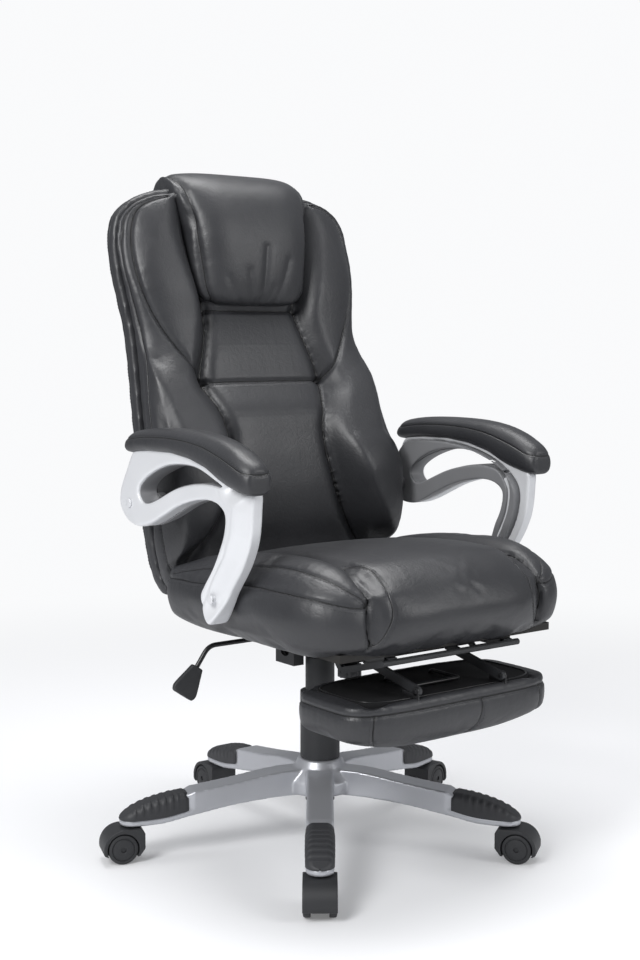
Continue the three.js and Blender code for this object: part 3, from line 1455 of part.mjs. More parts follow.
const footCorner = 5;
function footPlan(u, v) {
  const [a, b] = roundedSquare(u, v, footCorner);
  return [footrestHalfWidth * a, footMiddleY + footHalfDepth * b];
}
const footCrown = footrestLining - footrestBottom;
const footSideShare = 0.7;
const footCrownPower = 3;
function footLower(u, v) {
  const [x, y] = footPlan(u, v);
  const most = Math.max(Math.abs(u), Math.abs(v));
  const depth = footSideShare + (1 - footSideShare) * (1 - most ** footCrownPower);
  return at(x, y, footrestLining - footCrown * depth);
}
function footUpper(u, v) {
  const [x, y] = footPlan(u, v);
  return at(x, y, footrestLining);
}
const footColumns = [0, 0.3, 0.6, 0.8, 0.92, 1];
const footPadFull = padded({
  us: mirroredShares(footColumns),
  vs: [-1, -0.88, -0.65, -0.3, 0.1, 0.5, 0.8, 0.93, 1],
  front: footLower,
  back: footUpper,
  rows: 2,
  bulge: 4,
});
const footPocket = box(
  at(
    -footrestHalfWidth + footBoardInset * 2 - runningGap,
    footrestFront + footBoardInset - runningGap,
    footBoardLow - runningGap,
  ),
  at(
    footrestHalfWidth - footBoardInset * 2 + runningGap,
    footrestRear - footBoardInset + runningGap,
    seatUnderside,
  ),
).add(earRecess(1)).add(earRecess(-1));
place(chair, 'footrest_pad', footPadFull.subtract(footPocket), blackLeather);

export default chair;
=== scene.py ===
# %% [markdown]
# # A high-backed office chair with a pull-out footrest
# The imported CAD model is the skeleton. It is loaded first and never moved. Each visible piece is then
# modelled over it in metres, in the same place, and rides on the body that moves it.
# The chair stands on the floor with its gas column on the Z axis, and the sitter faces -Y.

# %% Load the frame and measure it
import math

import bpy
import numpy as np
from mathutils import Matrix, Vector
from mathutils.bvhtree import BVHTree
from mathutils.kdtree import KDTree


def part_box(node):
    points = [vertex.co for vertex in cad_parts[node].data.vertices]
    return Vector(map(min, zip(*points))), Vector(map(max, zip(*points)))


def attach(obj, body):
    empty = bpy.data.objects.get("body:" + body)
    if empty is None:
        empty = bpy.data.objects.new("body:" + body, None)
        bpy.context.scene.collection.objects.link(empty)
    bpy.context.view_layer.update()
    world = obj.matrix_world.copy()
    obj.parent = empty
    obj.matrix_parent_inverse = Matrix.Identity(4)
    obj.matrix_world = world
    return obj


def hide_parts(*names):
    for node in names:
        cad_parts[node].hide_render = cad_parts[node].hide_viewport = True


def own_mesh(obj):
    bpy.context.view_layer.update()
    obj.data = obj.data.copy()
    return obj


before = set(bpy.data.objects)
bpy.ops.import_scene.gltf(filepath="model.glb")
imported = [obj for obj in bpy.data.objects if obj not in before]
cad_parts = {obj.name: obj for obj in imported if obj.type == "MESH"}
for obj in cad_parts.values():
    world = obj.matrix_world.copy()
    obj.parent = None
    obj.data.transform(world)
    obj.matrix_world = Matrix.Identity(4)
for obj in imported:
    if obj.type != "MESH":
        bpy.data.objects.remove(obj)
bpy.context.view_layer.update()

# %% [markdown]
# ## Small helpers
# Blender's operators act on whatever is selected, so everything is deselected before each step.
# Sizes are written in millimetres, as on a drawing, and turned into metres in one place.

# %% Helpers for selecting, naming and reading meshes
MM = 0.001


def deselect():
    if bpy.context.object and bpy.context.object.mode != "OBJECT":
        bpy.ops.object.mode_set(mode="OBJECT")
    bpy.ops.object.select_all(action="DESELECT")


def pick(piece):
    deselect()
    piece.select_set(True)
    bpy.context.view_layer.objects.active = piece
    return piece


def corners(piece):
    flat = np.empty(len(piece.data.vertices) * 3)
    piece.data.vertices.foreach_get("co", flat)
    return flat.reshape(-1, 3)


def move_corners(piece, places):
    piece.data.vertices.foreach_set("co", np.asarray(places, dtype=float).ravel())
    piece.data.update()


def settle(piece):
    pick(piece)
    bpy.ops.object.transform_apply(location=True, rotation=True, scale=True)
    return piece


def modify(piece, kind, **settings):
    pick(piece)
    modifier = piece.modifiers.new(kind.title(), kind)
    for name, value in settings.items():
        setattr(modifier, name, value)
    bpy.ops.object.modifier_apply(modifier=modifier.name)
    return piece


def soften_edges(piece, width, segments, sharper_than=40):
    """Rounds the edges that turn by more than this many degrees."""
    return modify(piece, "BEVEL", width=width * MM, segments=segments, limit_method="ANGLE",
                  angle_limit=math.radians(sharper_than))


def cut(piece, cutter, solver):
    """Takes the cutter's shape out of a piece, and the cutter out of the scene."""
    modify(piece, "BOOLEAN", operation="DIFFERENCE", object=cutter, solver=solver)
    bpy.data.objects.remove(cutter)


def relax(piece, rounds):
    return modify(piece, "SMOOTH", factor=0.5, iterations=rounds)


def even_out(piece, voxel, rounds=4):
    """Gives a piece even faces, and takes the voxels' steps out of them."""
    modify(piece, "REMESH", mode="VOXEL", voxel_size=voxel * MM)
    return relax(piece, rounds)


def refine(piece):
    return modify(piece, "SUBSURF", levels=1, render_levels=1)


def face_out(piece):
    pick(piece)
    bpy.ops.object.mode_set(mode="EDIT")
    bpy.ops.mesh.select_all(action="SELECT")
    bpy.ops.mesh.remove_doubles(threshold=0.00001)
    bpy.ops.mesh.normals_make_consistent(inside=False)
    bpy.ops.object.mode_set(mode="OBJECT")
    return piece


def smooth(piece, degrees=40):
    pick(piece)
    bpy.ops.object.shade_smooth_by_angle(angle=math.radians(degrees))
    return piece


def join(pieces, name):
    deselect()
    for piece in pieces:
        piece.select_set(True)
    bpy.context.view_layer.objects.active = pieces[0]
    if len(pieces) > 1:
        bpy.ops.object.join()
    whole = bpy.context.object
    whole.name = name
    return whole


def copy_of(piece, name, turn=0.0):
    twin = piece.copy()
    twin.data = piece.data.copy()
    twin.name = name
    bpy.context.collection.objects.link(twin)
    if turn:
        cos, sin = math.cos(turn), math.sin(turn)
        spin = np.array([[cos, -sin, 0], [sin, cos, 0], [0, 0, 1]])
        move_corners(twin, corners(twin) @ spin.T)
    return twin


def ease(table, share, column=1):
    """Reads a value between the rows of a table, with a smooth curve through them."""
    rows = np.asarray(table, dtype=float)
    share = np.asarray(share, dtype=float)
    at, value = rows[:, 0], rows[:, column]
    low = np.clip(np.searchsorted(at, share, side="right") - 1, 0, len(at) - 2)
    before, after = np.maximum(low - 1, 0), np.minimum(low + 2, len(at) - 1)
    span = at[low + 1] - at[low]
    t = np.clip((share - at[low]) / span, 0, 1)
    slope_a = (value[low + 1] - value[before]) / np.maximum(at[low + 1] - at[before], 1e-9)
    slope_b = (value[after] - value[low]) / np.maximum(at[after] - at[low], 1e-9)
    return ((2 * t**3 - 3 * t**2 + 1) * value[low] + (t**3 - 2 * t**2 + t) * span * slope_a
            + (3 * t**2 - 2 * t**3) * value[low + 1] + (t**3 - t**2) * span * slope_b)


def step(low, high, value):
    t = np.clip((value - low) / (high - low), 0, 1)
    return t * t * (3 - 2 * t)


# %% [markdown]
# ## Camera
# The photograph was taken from the front right of the sitter, about 2.5 m away and from a little above
# the armrests, tipped down by some five degrees. A longish lens keeps the base's legs from spreading.

# %% Camera
view_distance = 2.4755
view_height = 0.8606
view_turn = math.radians(-37.0)
view_tip = math.radians(5.4576)
lens_mm = 55.02

deselect()
bpy.ops.object.camera_add(
    location=(view_distance * math.sin(view_turn), -view_distance * math.cos(view_turn), view_height),
    rotation=(math.pi / 2 - view_tip, 0, view_turn),
)
camera = bpy.context.object
camera.name = "photo_camera"
camera.data.lens = lens_mm
camera.data.sensor_width = 36.0
bpy.context.scene.camera = camera
print("camera at", [round(v, 3) for v in camera.location])

# %% [markdown]
# ## Light and studio
# The studio is white all round. One large soft light stands at the left front and a weaker one at the
# right, and a long one hangs above, so that the black leather shows broad pale reflections along its
# rolls. The floor is pale paper near the chair, where the shadow falls. Farther out it fades into the
# backdrop's white, for camera rays only, so that no horizon shows.

# %% World and lights
scene = bpy.context.scene
scene.view_settings.view_transform = "Standard"
backdrop_white = (0.955, 0.96, 0.97, 1)

world = bpy.data.worlds.new("studio")
scene.world = world
world.use_nodes = True
nodes, links = world.node_tree.nodes, world.node_tree.links
nodes.clear()
out = nodes.new("ShaderNodeOutputWorld")
mix = nodes.new("ShaderNodeMixShader")
fill = nodes.new("ShaderNodeBackground")
fill.inputs["Color"].default_value = (0.93, 0.95, 1.0, 1)
fill.inputs["Strength"].default_value = 0.30
seen = nodes.new("ShaderNodeBackground")
seen.inputs["Color"].default_value = backdrop_white
path = nodes.new("ShaderNodeLightPath")
links.new(path.outputs["Is Camera Ray"], mix.inputs["Fac"])
links.new(fill.outputs["Background"], mix.inputs[1])
links.new(seen.outputs["Background"], mix.inputs[2])
links.new(mix.outputs["Shader"], out.inputs["Surface"])


def soft_light(name, place, target, size, power):
    deselect()
    bpy.ops.object.light_add(type="AREA", location=place)
    lamp = bpy.context.object
    lamp.name = name
    lamp.data.shape = "RECTANGLE"
    lamp.data.size, lamp.data.size_y = size
    lamp.data.energy = power
    aim = Vector(target) - Vector(place)
    lamp.rotation_euler = aim.to_track_quat("-Z", "Y").to_euler()
    return lamp


soft_light("key_left", (-2.6, -0.9, 2.3), (0, 0, 0.7), (1.1, 1.6), 78)
soft_light("fill_right", (1.5, -3.0, 1.9), (0, 0, 0.7), (1.5, 1.5), 34)
soft_light("top", (0.2, 0.2, 3.1), (0, 0, 0.6), (2.0, 1.3), 62)

# %% Floor
deselect()
bpy.ops.mesh.primitive_plane_add(size=60, location=(0, 0, -0.0005))
floor = settle(bpy.context.object)
floor.name = "studio_floor"
paper = bpy.data.materials.new("studio_paper")
paper.use_nodes = True
nodes, links = paper.node_tree.nodes, paper.node_tree.links
shader = nodes["Principled BSDF"]
shader.inputs["Base Color"].default_value = (0.80, 0.805, 0.82, 1)
shader.inputs["Roughness"].default_value = 0.6
shader.inputs["Emission Color"].default_value = (1, 1, 1, 1)
path = nodes.new("ShaderNodeLightPath")
glow = nodes.new("ShaderNodeMath")
glow.operation = "MULTIPLY"
glow.inputs[1].default_value = 0.16
links.new(path.outputs["Is Camera Ray"], glow.inputs[0])
links.new(glow.outputs["Value"], shader.inputs["Emission Strength"])
far = nodes.new("ShaderNodeEmission")
far.inputs["Color"].default_value = backdrop_white
spot = nodes.new("ShaderNodeTexCoord")
distance = nodes.new("ShaderNodeVectorMath")
distance.operation = "LENGTH"
links.new(spot.outputs["Object"], distance.inputs[0])
fade_out = nodes.new("ShaderNodeMapRange")
fade_out.interpolation_type = "SMOOTHSTEP"
fade_out.inputs["From Min"].default_value = 0.5
fade_out.inputs["From Max"].default_value = 2.6
links.new(distance.outputs["Value"], fade_out.inputs["Value"])
seen_far = nodes.new("ShaderNodeMath")
seen_far.operation = "MULTIPLY"
links.new(fade_out.outputs["Result"], seen_far.inputs[0])
links.new(path.outputs["Is Camera Ray"], seen_far.inputs[1])
blend_far = nodes.new("ShaderNodeMixShader")
links.new(seen_far.outputs["Value"], blend_far.inputs["Fac"])
links.new(shader.outputs["BSDF"], blend_far.inputs[1])
links.new(far.outputs["Emission"], blend_far.inputs[2])
links.new(blend_far.outputs["Shader"], nodes["Material Output"].inputs["Surface"])
floor.data.materials.append(paper)
print("floor metres:", [round(v, 1) for v in floor.dimensions])

# %% [markdown]
# ## Finishes
# Black bonded leather has a pebbled grain a millimetre or so across, faint creases and a satin gloss
# that breaks up a little. The moulded plastics have a fine spark-eroded texture. The silver parts are
# painted with a metallic lacquer. Two node groups hold the effects that several finishes share.

# %% Node groups: leather grain and moulded texture


def new_group(name, inputs, outputs):
    group = bpy.data.node_groups.new(name, "ShaderNodeTree")
    for label, default in inputs:
        socket = group.interface.new_socket(label, in_out="INPUT", socket_type="NodeSocketFloat")
        socket.default_value = default
    for label in outputs:
        group.interface.new_socket(label, in_out="OUTPUT", socket_type="NodeSocketFloat")
    entry = group.nodes.new("NodeGroupInput")
    leave = group.nodes.new("NodeGroupOutput")
    return group, entry, leave


def maths(tree, operation, first, second=None):
    node = tree.nodes.new("ShaderNodeMath")
    node.operation = operation
    for slot_number, value in enumerate((first, second)):
        if value is None:
            continue
        if isinstance(value, (int, float)):
            node.inputs[slot_number].default_value = value
        else:
            tree.links.new(value, node.inputs[slot_number])
    return node.outputs[0]


def pattern(tree, kind, place, scale, feature=None, detail=None):
    node = tree.nodes.new(kind)
    tree.links.new(place, node.inputs["Vector"])
    node.inputs["Scale"].default_value = scale
    if feature:
        node.feature = feature
    if detail:
        node.inputs["Detail"].default_value = detail
    return node


grain, entry, leave = new_group("leather_grain", [("Pebble", 1.0), ("Crease", 1.0)], ["Height", "Mottle"])
place = grain.nodes.new("ShaderNodeTexCoord").outputs["Object"]
pebble = pattern(grain, "ShaderNodeTexVoronoi", place, 620.0, feature="SMOOTH_F1")
fine = pattern(grain, "ShaderNodeTexNoise", place, 1400.0, detail=2.0)
drift = pattern(grain, "ShaderNodeTexNoise", place, 26.0, detail=3.0)
bent = grain.nodes.new("ShaderNodeVectorMath")
bent.operation = "MULTIPLY_ADD"
grain.links.new(drift.outputs["Color"], bent.inputs[0])
bent.inputs[1].default_value = (0.03, 0.03, 0.03)
grain.links.new(place, bent.inputs[2])
crease = pattern(grain, "ShaderNodeTexVoronoi", bent.outputs["Vector"], 95.0, feature="DISTANCE_TO_EDGE")
crease_line = maths(grain, "SMOOTH_MIN", crease.outputs["Distance"], 0.09)
pebbles = maths(grain, "MULTIPLY", pebble.outputs["Distance"], entry.outputs["Pebble"])
roughs = maths(grain, "MULTIPLY", fine.outputs["Fac"], 0.25)
creases = maths(grain, "MULTIPLY", maths(grain, "MULTIPLY", crease_line, 9.0), entry.outputs["Crease"])
ripple = pattern(grain, "ShaderNodeTexNoise", place, 34.0, detail=3.0)
ripples = maths(grain, "MULTIPLY", ripple.outputs["Fac"], 5.0)
heights = maths(grain, "ADD", maths(grain, "ADD", pebbles, roughs), maths(grain, "ADD", creases, ripples))
grain.links.new(heights, leave.inputs["Height"])
blotch = pattern(grain, "ShaderNodeTexNoise", place, 9.0, detail=4.0)
grain.links.new(blotch.outputs["Fac"], leave.inputs["Mottle"])

spark, entry, leave = new_group("moulded_texture", [("Fineness", 1500.0)], ["Height", "Mottle"])
place = spark.nodes.new("ShaderNodeTexCoord").outputs["Object"]
speckle = spark.nodes.new("ShaderNodeTexNoise")
spark.links.new(place, speckle.inputs["Vector"])
spark.links.new(entry.outputs["Fineness"], speckle.inputs["Scale"])
spark.links.new(speckle.outputs["Fac"], leave.inputs["Height"])
cloud = pattern(spark, "ShaderNodeTexNoise", place, 14.0, detail=5.0)
spark.links.new(cloud.outputs["Fac"], leave.inputs["Mottle"])
print("node groups:", [group.name for group in (grain, spark)])

# %% Materials


def finish(name, dark, pale, rough, group, height, settings, metallic=0.0, coat=0.0, specular=0.5):
    """A Principled material whose colour and gloss drift between two values."""
    material = bpy.data.materials.new(name)
    material.use_nodes = True
    tree = material.node_tree
    bsdf = tree.nodes["Principled BSDF"]
    bsdf.inputs["Metallic"].default_value = metallic
    bsdf.inputs["Coat Weight"].default_value = coat
    bsdf.inputs["Coat Roughness"].default_value = 0.25
    bsdf.inputs["Specular IOR Level"].default_value = specular
    effect = tree.nodes.new("ShaderNodeGroup")
    effect.node_tree = group
    for label, value in settings.items():
        effect.inputs[label].default_value = value
    colours = tree.nodes.new("ShaderNodeMix")
    colours.data_type = "RGBA"
    colours.inputs["A"].default_value = (*dark, 1)
    colours.inputs["B"].default_value = (*pale, 1)
    tree.links.new(effect.outputs["Mottle"], colours.inputs["Factor"])
    tree.links.new(colours.outputs["Result"], bsdf.inputs["Base Color"])
    gloss = tree.nodes.new("ShaderNodeMapRange")
    gloss.inputs["From Min"].default_value = 0.3
    gloss.inputs["From Max"].default_value = 0.7
    gloss.inputs["To Min"].default_value = rough[0]
    gloss.inputs["To Max"].default_value = rough[1]
    tree.links.new(effect.outputs["Mottle"], gloss.inputs["Value"])
    tree.links.new(gloss.outputs["Result"], bsdf.inputs["Roughness"])
    bump = tree.nodes.new("ShaderNodeBump")
    bump.inputs["Distance"].default_value = height
    bump.inputs["Strength"].default_value = 0.6
    tree.links.new(effect.outputs["Height"], bump.inputs["Height"])
    tree.links.new(bump.outputs["Normal"], bsdf.inputs["Normal"])
    return material


leather = finish(
    "black_leather", dark=(0.020, 0.0205, 0.023), pale=(0.034, 0.035, 0.039), rough=(0.38, 0.50),
    group=grain, height=0.17 * MM, settings={"Pebble": 1.0, "Crease": 0.8}, specular=0.6,
)
lining = finish(
    "black_lining", dark=(0.006, 0.006, 0.007), pale=(0.012, 0.012, 0.013), rough=(0.75, 0.9),
    group=spark, height=0.2 * MM, settings={"Fineness": 900.0}, specular=0.3,
)
thread = finish(
    "seam_thread", dark=(0.020, 0.021, 0.023), pale=(0.032, 0.033, 0.036), rough=(0.5, 0.6),
    group=spark, height=0.05 * MM, settings={"Fineness": 3000.0},
)
base_silver = finish(
    "base_silver_paint", dark=(0.49, 0.50, 0.53), pale=(0.55, 0.56, 0.59), rough=(0.32, 0.42),
    group=spark, height=0.04 * MM, settings={"Fineness": 2600.0}, metallic=0.6, coat=0.1,
)
arm_silver = finish(
    "arm_silver_lacquer", dark=(0.70, 0.71, 0.73), pale=(0.76, 0.77, 0.79), rough=(0.32, 0.40),
    group=spark, height=0.03 * MM, settings={"Fineness": 2600.0}, metallic=0.2, coat=0.15,
)
dark_plastic = finish(
    "dark_plastic", dark=(0.022, 0.023, 0.025), pale=(0.030, 0.031, 0.034), rough=(0.48, 0.6),
    group=spark, height=0.06 * MM, settings={"Fineness": 1800.0},
)
pad_plastic = finish(
    "foot_pad_plastic", dark=(0.030, 0.031, 0.034), pale=(0.040, 0.041, 0.045), rough=(0.5, 0.62),
    group=spark, height=0.08 * MM, settings={"Fineness": 1500.0},
)
cover_plastic = finish(
    "arm_cover_plastic", dark=(0.18, 0.182, 0.19), pale=(0.21, 0.212, 0.22), rough=(0.42, 0.52),
    group=spark, height=0.06 * MM, settings={"Fineness": 1700.0},
)
black_steel = finish(
    "black_steel", dark=(0.007, 0.007, 0.008), pale=(0.013, 0.013, 0.014), rough=(0.30, 0.42),
    group=spark, height=0.05 * MM, settings={"Fineness": 1200.0}, coat=0.2,
)
bright_steel = finish(
    "bright_steel", dark=(0.50, 0.50, 0.51), pale=(0.58, 0.58, 0.60), rough=(0.18, 0.28),
    group=spark, height=0.02 * MM, settings={"Fineness": 2200.0}, metallic=1.0,
)
# The seat board is plywood given a near-black colour as painted shade, so its edge under the seat reads as
# shadow.
board_wood = finish(
    "plywood_dark_as_painted_shade", dark=(0.009, 0.008, 0.007), pale=(0.016, 0.014, 0.012), rough=(0.55, 0.75),
    group=spark, height=0.2 * MM, settings={"Fineness": 500.0},
)

print("finishes:", [material.name for material in bpy.data.materials if material.use_nodes])

# %% Seam lines in the leather, and dressing a finished piece


def sink_seams_with_painted_shade(material):
    """Sinks the leather along the seam lines from sew(), and darkens them with painted shade."""
    tree = material.node_tree
    bsdf = tree.nodes["Principled BSDF"]
    across, close = tree.nodes.new("ShaderNodeAttribute"), tree.nodes.new("ShaderNodeAttribute")
    across.attribute_name, close.attribute_name = "seam_side", "seam_near"
    fold = tree.nodes.new("ShaderNodeMapRange")
    fold.interpolation_type = "SMOOTHSTEP"
    fold.inputs["From Min"].default_value = 0.3
    fold.inputs["From Max"].default_value = 1.5
    fold.inputs["To Min"].default_value = 1.0
    fold.inputs["To Max"].default_value = 0.0
    tree.links.new(maths(tree, "ABSOLUTE", across.outputs["Fac"]), fold.inputs["Value"])
    line = maths(tree, "MULTIPLY", fold.outputs["Result"], close.outputs["Fac"])
    bump = next(node for node in tree.nodes if node.type == "BUMP")
    height = bump.inputs["Height"].links[0].from_socket
    sunk = maths(tree, "SUBTRACT", height, maths(tree, "MULTIPLY", line, 9.0))
    tree.links.new(sunk, bump.inputs["Height"])
    # Painted shade: the seam line is mixed towards near-black, standing in for the shade in the crease.
    shade = tree.nodes.new("ShaderNodeMix")
    shade.data_type = "RGBA"
    shade.inputs["B"].default_value = (0.002, 0.002, 0.002, 1)
    tree.links.new(line, shade.inputs["Factor"])
    tree.links.new(bsdf.inputs["Base Color"].links[0].from_socket, shade.inputs["A"])
    tree.links.new(shade.outputs["Result"], bsdf.inputs["Base Color"])


sink_seams_with_painted_shade(leather)


def dress(piece, material, body, replaced=()):
    """Gives a finished piece its material and its body, and hides the CAD nodes it stands for."""
    piece.data.materials.clear()
    piece.data.materials.append(material)
    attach(piece, body)
    if replaced:
        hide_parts(*replaced)
    return piece


steel_nodes = ("mechanism_housing", "seat_plate", "back_bracket", "tube_bushing")
for name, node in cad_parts.items():
    chosen = dark_plastic
    if name in steel_nodes or "rail" in name or "stem" in name:
        chosen = black_steel
    if name in ("tilt_shaft", "gas_piston"):
        chosen = bright_steel
    # The seat board takes the near-black plywood: painted shade under the seat.
    if name == "seat_frame":
        chosen = board_wood
    node.data.materials.clear()
    node.data.materials.append(chosen)
print("CAD nodes given a plain finish:", len(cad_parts))

# %% [markdown]
# ## Turned parts
# The column cover, the tube, the bushing, the piston and the wheels are all turned shapes. Each starts as
# a profile, a line of points at a radius and a height, and the Screw modifier sweeps it round the axis.

# %% A lathe, and the gas column
at_axis = 0.01
wall_gap = 0.3
tube_radius, tube_foot, tube_top = 25.0, 70.0, 322.0
sleeve_radius, sleeve_foot, sleeve_top = 34.0, 146.3, 262.0
collar_radius, collar_foot = 19.0, 322.3
piston_radius, piston_foot, piston_shoulder, piston_top = 14.0, 165.0, 362.0, 366.2
valve_radius = 4.2


def turned(name, profile, sides=96, bevel=0.0):
    """Sweeps a profile of [radius, height] pairs in millimetres round Z and closes it."""
    deselect()
    bpy.ops.mesh.primitive_circle_add(vertices=len(profile), radius=1, fill_type="NOTHING")
    piece = bpy.context.object
    piece.name = name
    ring = [(radius * MM, 0, height * MM) for radius, height in profile]
    move_corners(piece, ring)
    modify(piece, "SCREW", angle=2 * math.pi, steps=sides, render_steps=sides, use_merge_vertices=True,
           merge_threshold=0.00001)
    face_out(piece)
    if bevel:
        soften_edges(piece, bevel, 3)
    return smooth(piece, 35)


cover = turned("column_sleeve", [
    (sleeve_radius - 2.8, sleeve_foot), (sleeve_radius, sleeve_foot), (sleeve_radius, sleeve_top),
    (tube_radius + wall_gap, sleeve_top), (tube_radius + wall_gap, sleeve_top - 3),
    (sleeve_radius - 2.8, sleeve_top - 3),
], bevel=1.2)
dress(cover, dark_plastic, "base", ["column_cover"])
tube_bore = piston_radius + 0.4
tube = turned("column_tube", [
    (at_axis, tube_foot), (tube_radius, tube_foot), (tube_radius, tube_top), (tube_bore, tube_top),
    (tube_bore, tube_foot + 3), (at_axis, tube_foot + 3),
], bevel=0.8)
dress(tube, dark_plastic, "base", ["stand_tube"])
collar_bore = piston_radius + wall_gap
collar_groove = collar_radius - 2.2
collar_profile = [
    (collar_bore, 0), (collar_radius, 0), (collar_radius, 5.3), (collar_groove, 6.3), (collar_groove, 7.7),
    (collar_radius, 8.7), (collar_radius, 13), (collar_bore, 13),
]
bushing = turned("column_bushing", [(radius, collar_foot + above) for radius, above in collar_profile],
                 bevel=0.5)
dress(bushing, dark_plastic, "base", ["tube_bushing"])
piston = turned("column_piston", [
    (at_axis, piston_foot), (piston_radius, piston_foot), (piston_radius, piston_shoulder),
    (valve_radius, piston_shoulder), (valve_radius, piston_top), (at_axis, piston_top),
], bevel=0.4)
dress(piston, bright_steel, "gas_lift", ["gas_piston"])
print("column pieces:", [len(p.data.polygons) for p in (cover, tube, bushing, piston)])

# %% [markdown]
# ## The star base
# The base is one casting: five arched legs that flow into a hub. Each leg is a cube that is extruded
# outwards section by section. The legs and the hub are then fused with a voxel remesh and smoothed,
# which gives the soft fillets that a mould gives.

# %% Legs and hub
leg_reach = 350.0
hub_height = 146.0
tip_half = 22.0
leg_count = 5
base_turn = math.radians(233.0)
leg_shares = [
    (0.0, 0.897, 0.62), (0.06, 0.897, 0.6), (0.23, 0.888, 0.596), (0.45, 0.812, 0.555),
    (0.62, 0.762, 0.492), (0.674, 0.748, 0.472), (0.78, 0.71, 0.424), (0.87, 0.66, 0.41),
    (0.93, 0.604, 0.41), (0.972, 0.546, 0.41), (1.0, 0.5, 0.41),
]


def leg_turn(number):
    return base_turn + 2 * math.pi * number / leg_count


def leg_top(radius):
    return hub_height * ease(leg_shares, radius / leg_reach, 1)


def leg_floor(radius):
    return hub_height * ease(leg_shares, radius / leg_reach, 2)


def leg_half(radius, inset=0.0):
    """Half the width of a leg, which ends in a half round."""
    half = tip_half - inset
    centre = leg_reach - tip_half
    past = np.clip((np.asarray(radius, dtype=float) - centre) / half, 0, 0.999)
    return half * np.sqrt(1 - past**2)


def beam(name, stations, section):
    """A cube whose end face is extruded from station to station, then shaped to a section."""
    deselect()
    bpy.ops.mesh.primitive_cube_add(size=1)
    piece = bpy.context.object
    piece.name = name
    move_corners(piece, corners(piece) * [MM, 1, 1] + [stations[0] * MM, 0, 0])
    bpy.ops.object.mode_set(mode="EDIT")
    bpy.ops.mesh.select_mode(type="VERT")
    bpy.ops.mesh.select_all(action="DESELECT")
    bpy.ops.object.mode_set(mode="OBJECT")
    for vertex in piece.data.vertices:
        vertex.select = vertex.co.x > stations[0] * MM
    bpy.ops.object.mode_set(mode="EDIT")
    last = stations[0] + 0.5
    for station in stations[1:]:
        bpy.ops.mesh.extrude_region_move(TRANSFORM_OT_translate={"value": ((station - last) * MM, 0, 0)})
        last = station
    bpy.ops.mesh.select_all(action="SELECT")
    bpy.ops.object.mode_set(mode="OBJECT")
    places = corners(piece)
    radius = places[:, 0] / MM
    low, high, half = section(radius)
    places[:, 1] = np.sign(places[:, 1]) * half * MM
    places[:, 2] = np.where(places[:, 2] > 0, high, low) * MM
    move_corners(piece, places)
    return face_out(piece)


leg_root = 20.0
pad_start = 236.0
rim_height = 10.0
straight_end = leg_reach - tip_half - 2
leg_stations = list(np.linspace(leg_root, straight_end, 32))
leg_stations += list(leg_reach - tip_half * (1 - np.sin(np.linspace(0.1, 1.5, 8))))
pad_wall = 3.2


def leg_section(radius):
    under_pad = step(pad_start - 1.0, pad_start + 0.5, radius)
    high = leg_top(radius) - pad_wall * under_pad
    half = leg_half(radius, pad_wall) * under_pad + leg_half(radius) * (1 - under_pad)
    return leg_floor(radius), high, half


def rim_section(radius):
    return leg_floor(radius), leg_floor(radius) + rim_height, leg_half(radius)


# %% Fuse the legs with the hub
leg = beam("leg", leg_stations, leg_section)
soften_edges(leg, 9, 4, sharper_than=60)
rim = beam("rim", [r for r in leg_stations if r > pad_start - 12], rim_section)
channel = beam("channel", list(np.linspace(70, 294, 12)),
               lambda r: (r * 0 + 20, leg_top(r) - 9, leg_half(r, 5)))
hub_bore = tube_radius + wall_gap
hub = turned("hub", [
    (hub_bore, 84), (40, 84), (60, 92), (60, 110), (44, 131), (37, hub_height), (hub_bore, hub_height),
], sides=64)
legs = []
for number in range(leg_count):
    legs += [copy_of(leg, "leg_copy", leg_turn(number)), copy_of(rim, "rim_copy", leg_turn(number))]
hollows = [copy_of(channel, "hollow", leg_turn(number)) for number in range(leg_count)]
for spare in (leg, rim, channel):
    bpy.data.objects.remove(spare)
star = join(legs + [hub], "star_base")
even_out(star, voxel=2.2, rounds=7)
cut(star, join(hollows, "hollows"), "FAST")
bore = turned("bore", [(at_axis, 40), (25.4, 40), (25.4, 180), (at_axis, 180)], sides=64)
cut(star, bore, "FAST")
smooth(star, 50)
dress(star, base_silver, "base", ["base_star"])
print("base faces:", len(star.data.polygons))

# %% [markdown]
# ## Foot pads
# A dark pad wraps the outer third of each leg, so that shoes don't scratch the paint. Six ribs run
# across it for grip. It starts as a grid that is bent over the leg, and Solidify gives it its wall.

# %% Foot pads
pad_rib_pitch = 12.5


def bent_over_leg(places):
    """Turns a flat grid into a saddle over the leg: first axis along the leg, second over its top."""
    along = (places[:, 0] + 1) / 2
    over = places[:, 1]
    radius = pad_start + 0.5 + (leg_reach + 0.4 - pad_start - 0.5) * along
    proud = 0.7 + 0.9 * step(0.12, 0.2, along) * step(0.93, 0.84, along) * (
        0.5 + 0.5 * np.tanh(3.5 * np.sin(2 * math.pi * (radius - 262) / pad_rib_pitch)))
    ridge = proud * step(0.9, 0.6, np.abs(over)) + 0.7 * (1 - step(0.9, 0.6, np.abs(over)))
    round_off = pad_wall * (1 - step(0.0, 0.06, along))
    half = leg_half(np.minimum(radius, leg_reach - 0.05)) + ridge - round_off * 0.4
    low = leg_floor(radius) + rim_height + 0.4
    high = np.maximum(leg_top(radius) + ridge - round_off, low + 3)
    bend = np.minimum(13.0, np.minimum(half * 0.9, (high - low) * 0.8))
    side = high - bend - low
    arc = bend * math.pi / 2
    flat = half - bend
    total = side + arc + flat
    run = np.abs(over) * total
    on_flat = np.clip(run, 0, flat)
    on_arc = np.clip((run - flat) / arc, 0, 1) * math.pi / 2
    on_side = np.clip(run - flat - arc, 0, side)
    across = on_flat + bend * np.sin(on_arc)
    height = high - bend * (1 - np.cos(on_arc)) - on_side
    return np.column_stack([radius, np.sign(over) * across, height]) * MM


